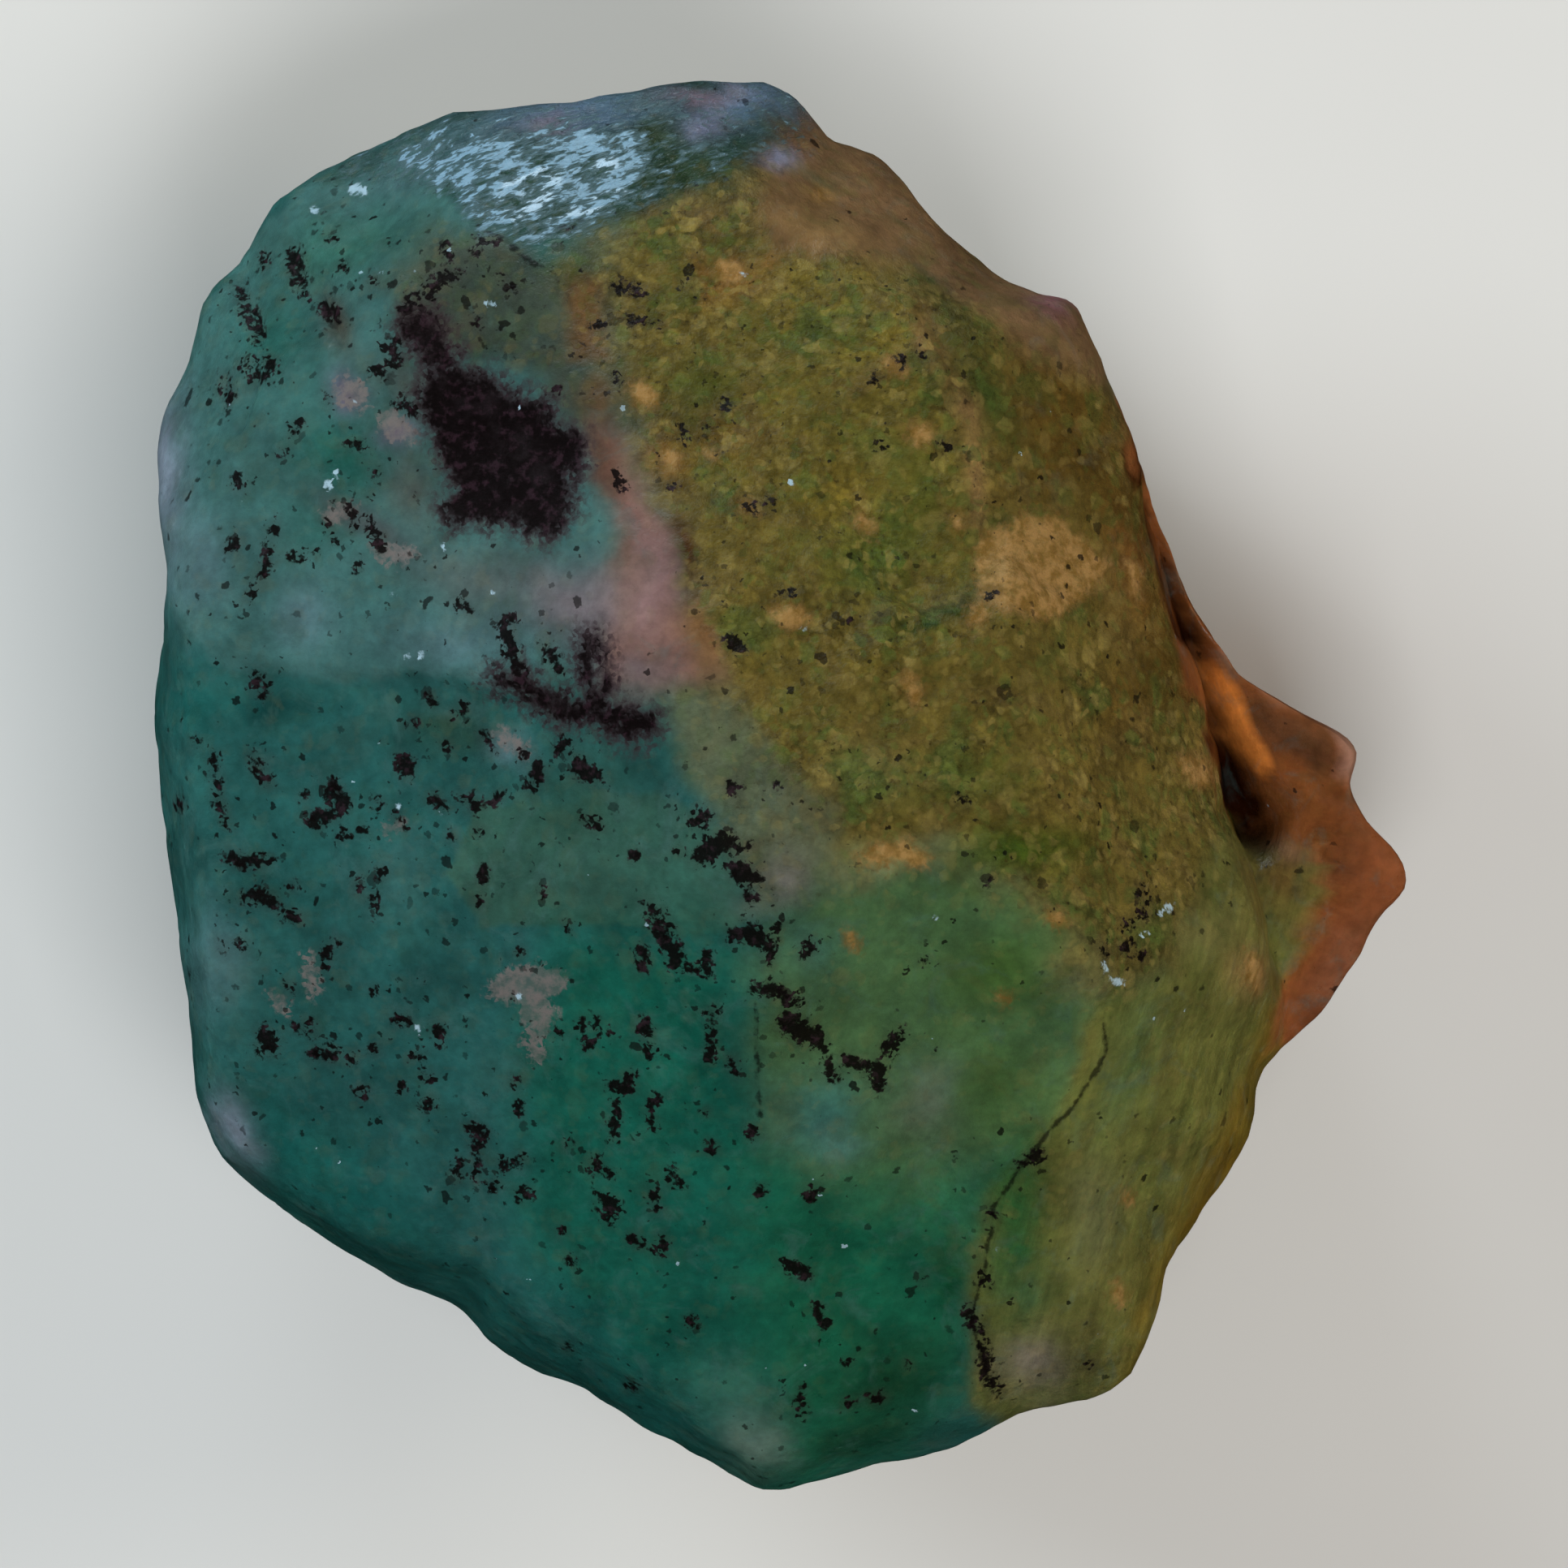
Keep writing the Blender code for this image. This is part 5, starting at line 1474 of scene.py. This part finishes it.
def store(mesh, name, values):
    """Keeps a value or a colour for each point, under a name that the material reads."""
    kind = "FLOAT_COLOR" if values.ndim == 2 else "FLOAT"
    layer = mesh.attributes.new(name, kind, "POINT")
    layer.data.foreach_set("color" if values.ndim == 2 else "value", values.ravel())


def paint(mesh, points, rays, upper, tint, masks):
    """Stores what the material reads: the tint and the masks, and the fields of the marks, the
    patch and the crack, which sink to -FAR_OUTSIDE towards the stone's side."""
    store(mesh, "tint", np.column_stack([np.clip(tint, 0, 1), np.ones(len(tint))]))
    store(mesh, "grain", masks["grain"])
    store(mesh, "specks", masks["specks"])
    store(mesh, "polish", masks["end face"] * upper)
    store(mesh, "lines", masks["prism face"])
    store(mesh, "painted_glitter", masks["painted_glitter"])
    frayed = ragged(points, MARK_EDGE_WAVES)
    fields = {name: mark_field(frayed, marks) for name, marks in MARKS.items()}
    patch = np.max([polygon_depth(frayed, corners) for corners in PATCH], axis=0)
    fields["patch"] = np.maximum(patch, -FAR_OUTSIDE)
    crack_side, fields["crack reach"] = crack_fields(frayed)
    store(mesh, "crack side", crack_side)
    for name, field in fields.items():
        store(mesh, name, (field + FAR_OUTSIDE) * come_in(rays, MARK_RISE) - FAR_OUTSIDE)


class EmeraldLook(bpy.types.PropertyGroup):
    """Sizes and colours of the stone."""

    grain_relief: FloatProperty(
        name="Grain relief", description="Height of the sugary grain, as a share", default=1.0)
    ripple_height: FloatProperty(
        name="Ripple height", description="Height of the end face's ripples", default=0.00008,
        unit="LENGTH")
    striation_height: FloatProperty(
        name="Striation height", description="Height of the lines down the prism face",
        default=0.00010, unit="LENGTH")
    bump: FloatProperty(
        name="Fine bump", description="Strength of the finest relief", default=0.8,
        subtype="FACTOR")
    cloudiness: FloatProperty(
        name="Cloudiness", description="Share of the light that is scattered inside the stone",
        default=0.25, subtype="FACTOR")
    gloss: FloatProperty(
        name="Gloss", description="Strength of the stone's own reflections", default=0.25,
        subtype="FACTOR")
    polish: FloatProperty(
        name="Polish", description="Clear gloss on the glints and the glitter", default=0.8,
        subtype="FACTOR")
    milk: FloatVectorProperty(
        name="Milky veils", description="Colour of the veils", default=(0.055, 0.118, 0.112),
        subtype="COLOR")
    mica: FloatVectorProperty(
        name="Mica", description="Colour of the mica flakes", default=(0.003, 0.002, 0.002),
        subtype="COLOR")
    mica_sheen: FloatVectorProperty(
        name="Mica sheen", description="Colour of the lighter mica", default=(0.019, 0.009, 0.013),
        subtype="COLOR")
    stain: FloatVectorProperty(
        name="Stain", description="Colour of the stain round the mica", default=(0.034, 0.026, 0.022),
        subtype="COLOR")
    pale: FloatVectorProperty(
        name="Pale patches", description="Colour of the pale patches", default=(0.135, 0.118, 0.112),
        subtype="COLOR")
    gold: FloatVectorProperty(
        name="Gold patches", description="Colour of the tan and gold patches",
        default=(0.235, 0.138, 0.046), subtype="COLOR")
    gold_shade: FloatVectorProperty(
        name="Gold patches, shaded", description="Colour between the gold grains",
        default=(0.13, 0.073, 0.015), subtype="COLOR")
    haze: FloatVectorProperty(
        name="Mica haze", description="Colour of the haze round the big mica patch",
        default=(0.03, 0.017, 0.021), subtype="COLOR")
    grass: FloatVectorProperty(
        name="Green grain", description="Colour of the green patches in the grain",
        default=(0.044, 0.074, 0.014), subtype="COLOR")
    ochre: FloatVectorProperty(
        name="Ochre grain", description="Colour of the ochre patches in the grain",
        default=(0.115, 0.078, 0.022), subtype="COLOR")
    grains: FloatVectorProperty(
        name="Pale grains", description="Colour of the pale rounded grains",
        default=(0.165, 0.13, 0.036), subtype="COLOR")
    pits: FloatVectorProperty(
        name="Pits", description="Colour of the dark pits in the grain", default=(0.028, 0.018, 0.004),
        subtype="COLOR")
    # Painted highlight: the colour of the small bright glints.
    painted_glint: FloatVectorProperty(
        name="Painted glints", description="Colour of the small bright spots", default=(0.34, 0.48, 0.57),
        subtype="COLOR")
    # Painted highlight of the end face's glitter, and the duller painted sheen between its ripples.
    painted_glitter: FloatVectorProperty(
        name="Painted glitter", description="Colour of the end face's bright ripples",
        default=(0.19, 0.32, 0.42), subtype="COLOR")
    painted_glitter_sheen: FloatVectorProperty(
        name="Glitter, shaded", description="Colour between the bright ripples",
        default=(0.062, 0.11, 0.125), subtype="COLOR")


class EmeraldStage(bpy.types.PropertyGroup):
    """The floor, the lights and the camera."""

    floor_colour: FloatVectorProperty(
        name="Floor", description="Colour of the floor", default=(0.60, 0.60, 0.59),
        subtype="COLOR")
    world_light: FloatProperty(
        name="Room light", description="Strength of the even light from all sides",
        default=0.12)
    key_power: FloatProperty(
        name="Key light", description="Power of the low cool light from the upper left",
        default=1.7, unit="POWER")
    top_power: FloatProperty(
        name="Top light", description="Power of the light from above", default=1.3,
        unit="POWER")
    warm_power: FloatProperty(
        name="Warm light", description="Power of the low warm light from the right",
        default=1.0, unit="POWER")
    end_power: FloatProperty(
        name="End light", description="Power of the low light behind the end face", default=0.4,
        unit="POWER")
    view_width: FloatProperty(
        name="View width", description="Width of the picture at the stone's middle height",
        default=0.05005, unit="LENGTH")
    lens: FloatProperty(
        name="Lens", description="Focal length, in mm", default=800.0)


class EMERALD_OT_stone(bpy.types.Operator):
    """Build the finished stone in place of its plain solid"""

    bl_idname = "emerald.build_stone"
    bl_label = "Build stone"

    def execute(self, context):
        look = context.scene.emerald_look
        rays, quads = sphere_grid(GRID_CELLS)
        points = add_relief(block_points(rays), rays)
        points = cut_grooves(fit_outline(fit_outline(points)), rays)
        upper = upper_side(points, rays)
        tint, masks = lay_zones(points, upper)
        points = add_detail(points, rays, masks, look)
        points = rest_flat(points)
        low, high = (np.array(corner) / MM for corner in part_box(STONE_NODE))
        stone = new_mesh("emerald_stone", fit_box(points, low, high) * MM, quads)
        mesh = stone.data
        mesh.shade_smooth()
        paint(mesh, points, rays, upper, tint, masks)
        mesh.materials.append(emerald_material(look))
        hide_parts(STONE_NODE)
        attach(stone, "root")
        return {"FINISHED"}


def add_light(name, power, side, colour, compass, rise, distance, mirrored=False):
    """A square area light, at a compass angle and a rise in degrees, aimed at the stone. Only a
    mirrored light shows in the stone's gloss, as if the others were behind a polarising sheet."""
    data = bpy.data.lights.new(name, "AREA")
    data.size = side
    data.energy = power
    data.color = colour
    turn, lift = math.radians(compass), math.radians(rise)
    away = Vector((math.cos(turn) * math.cos(lift), math.sin(turn) * math.cos(lift), math.sin(lift)))
    light = bpy.data.objects.new(name, data)
    light.visible_glossy = mirrored
    light.location = (CAD_BOX[0] + CAD_BOX[1]) / 2 + away * distance
    light.rotation_euler = away.to_track_quat("Z", "Y").to_euler()
    bpy.context.scene.collection.objects.link(light)


class EMERALD_OT_stage(bpy.types.Operator):
    """Lay the floor and set the lights and the camera"""

    bl_idname = "emerald.build_stage"
    bl_label = "Build stage"

    def execute(self, context):
        scene, stage = context.scene, context.scene.emerald_stage
        side = np.array([[-1, -1, 0], [1, -1, 0], [1, 1, 0], [-1, 1, 0]], float)
        floor = new_mesh("floor", side * FLOOR_HALF_SIDE, np.array([[0, 1, 2, 3]]))
        floor.data.materials.append(floor_material(stage))
        floor.visible_glossy = False
        world = bpy.data.worlds.new("room")
        world.use_nodes = True
        background = world.node_tree.nodes["Background"]
        background.inputs["Color"].default_value = (1, 1, 1, 1)
        background.inputs["Strength"].default_value = stage.world_light
        world.cycles_visibility.glossy = False
        scene.world = world
        add_light("key", stage.key_power, 0.22, (0.88, 0.97, 1.0), 150, 22, 0.42)
        add_light("top", stage.top_power, 0.22, (1.0, 1.0, 1.0), 285, 66, 0.45)
        add_light("warm", stage.warm_power, 0.20, (1.0, 0.87, 0.70), 12, 24, 0.42)
        add_light("end", stage.end_power, 0.09, (0.80, 0.92, 1.0), 100, 12, 0.36, mirrored=True)
        camera = bpy.data.objects.new("camera", bpy.data.cameras.new("camera"))
        camera.data.lens = stage.lens
        distance = stage.view_width * stage.lens / camera.data.sensor_width
        camera.location = (*VIEW_CENTRE, VIEW_HEIGHT + distance)
        camera.data.clip_start = 0.01
        scene.collection.objects.link(camera)
        scene.camera = camera
        scene.view_settings.view_transform = "Standard"
        return {"FINISHED"}


class EMERALD_PT_panel(bpy.types.Panel):
    """Lists the stone's and the stage's operators and values"""

    bl_label = "Rough emerald"
    bl_space_type = "VIEW_3D"
    bl_region_type = "UI"
    bl_category = "Emerald"

    def draw(self, context):
        for operator, group in (
            (EMERALD_OT_stone, context.scene.emerald_look),
            (EMERALD_OT_stage, context.scene.emerald_stage),
        ):
            self.layout.operator(operator.bl_idname)
            for name in group.__annotations__:
                self.layout.prop(group, name)


CLASSES = (EmeraldLook, EmeraldStage, EMERALD_OT_stone, EMERALD_OT_stage, EMERALD_PT_panel)


def register():
    for kind in CLASSES:
        bpy.utils.register_class(kind)
    bpy.types.Scene.emerald_look = PointerProperty(type=EmeraldLook)
    bpy.types.Scene.emerald_stage = PointerProperty(type=EmeraldStage)


def unregister():
    del bpy.types.Scene.emerald_look
    del bpy.types.Scene.emerald_stage
    for kind in reversed(CLASSES):
        bpy.utils.unregister_class(kind)


def main():
    register()
    bpy.ops.emerald.build_stone()
    bpy.ops.emerald.build_stage()


if __name__ == "__main__":
    main()
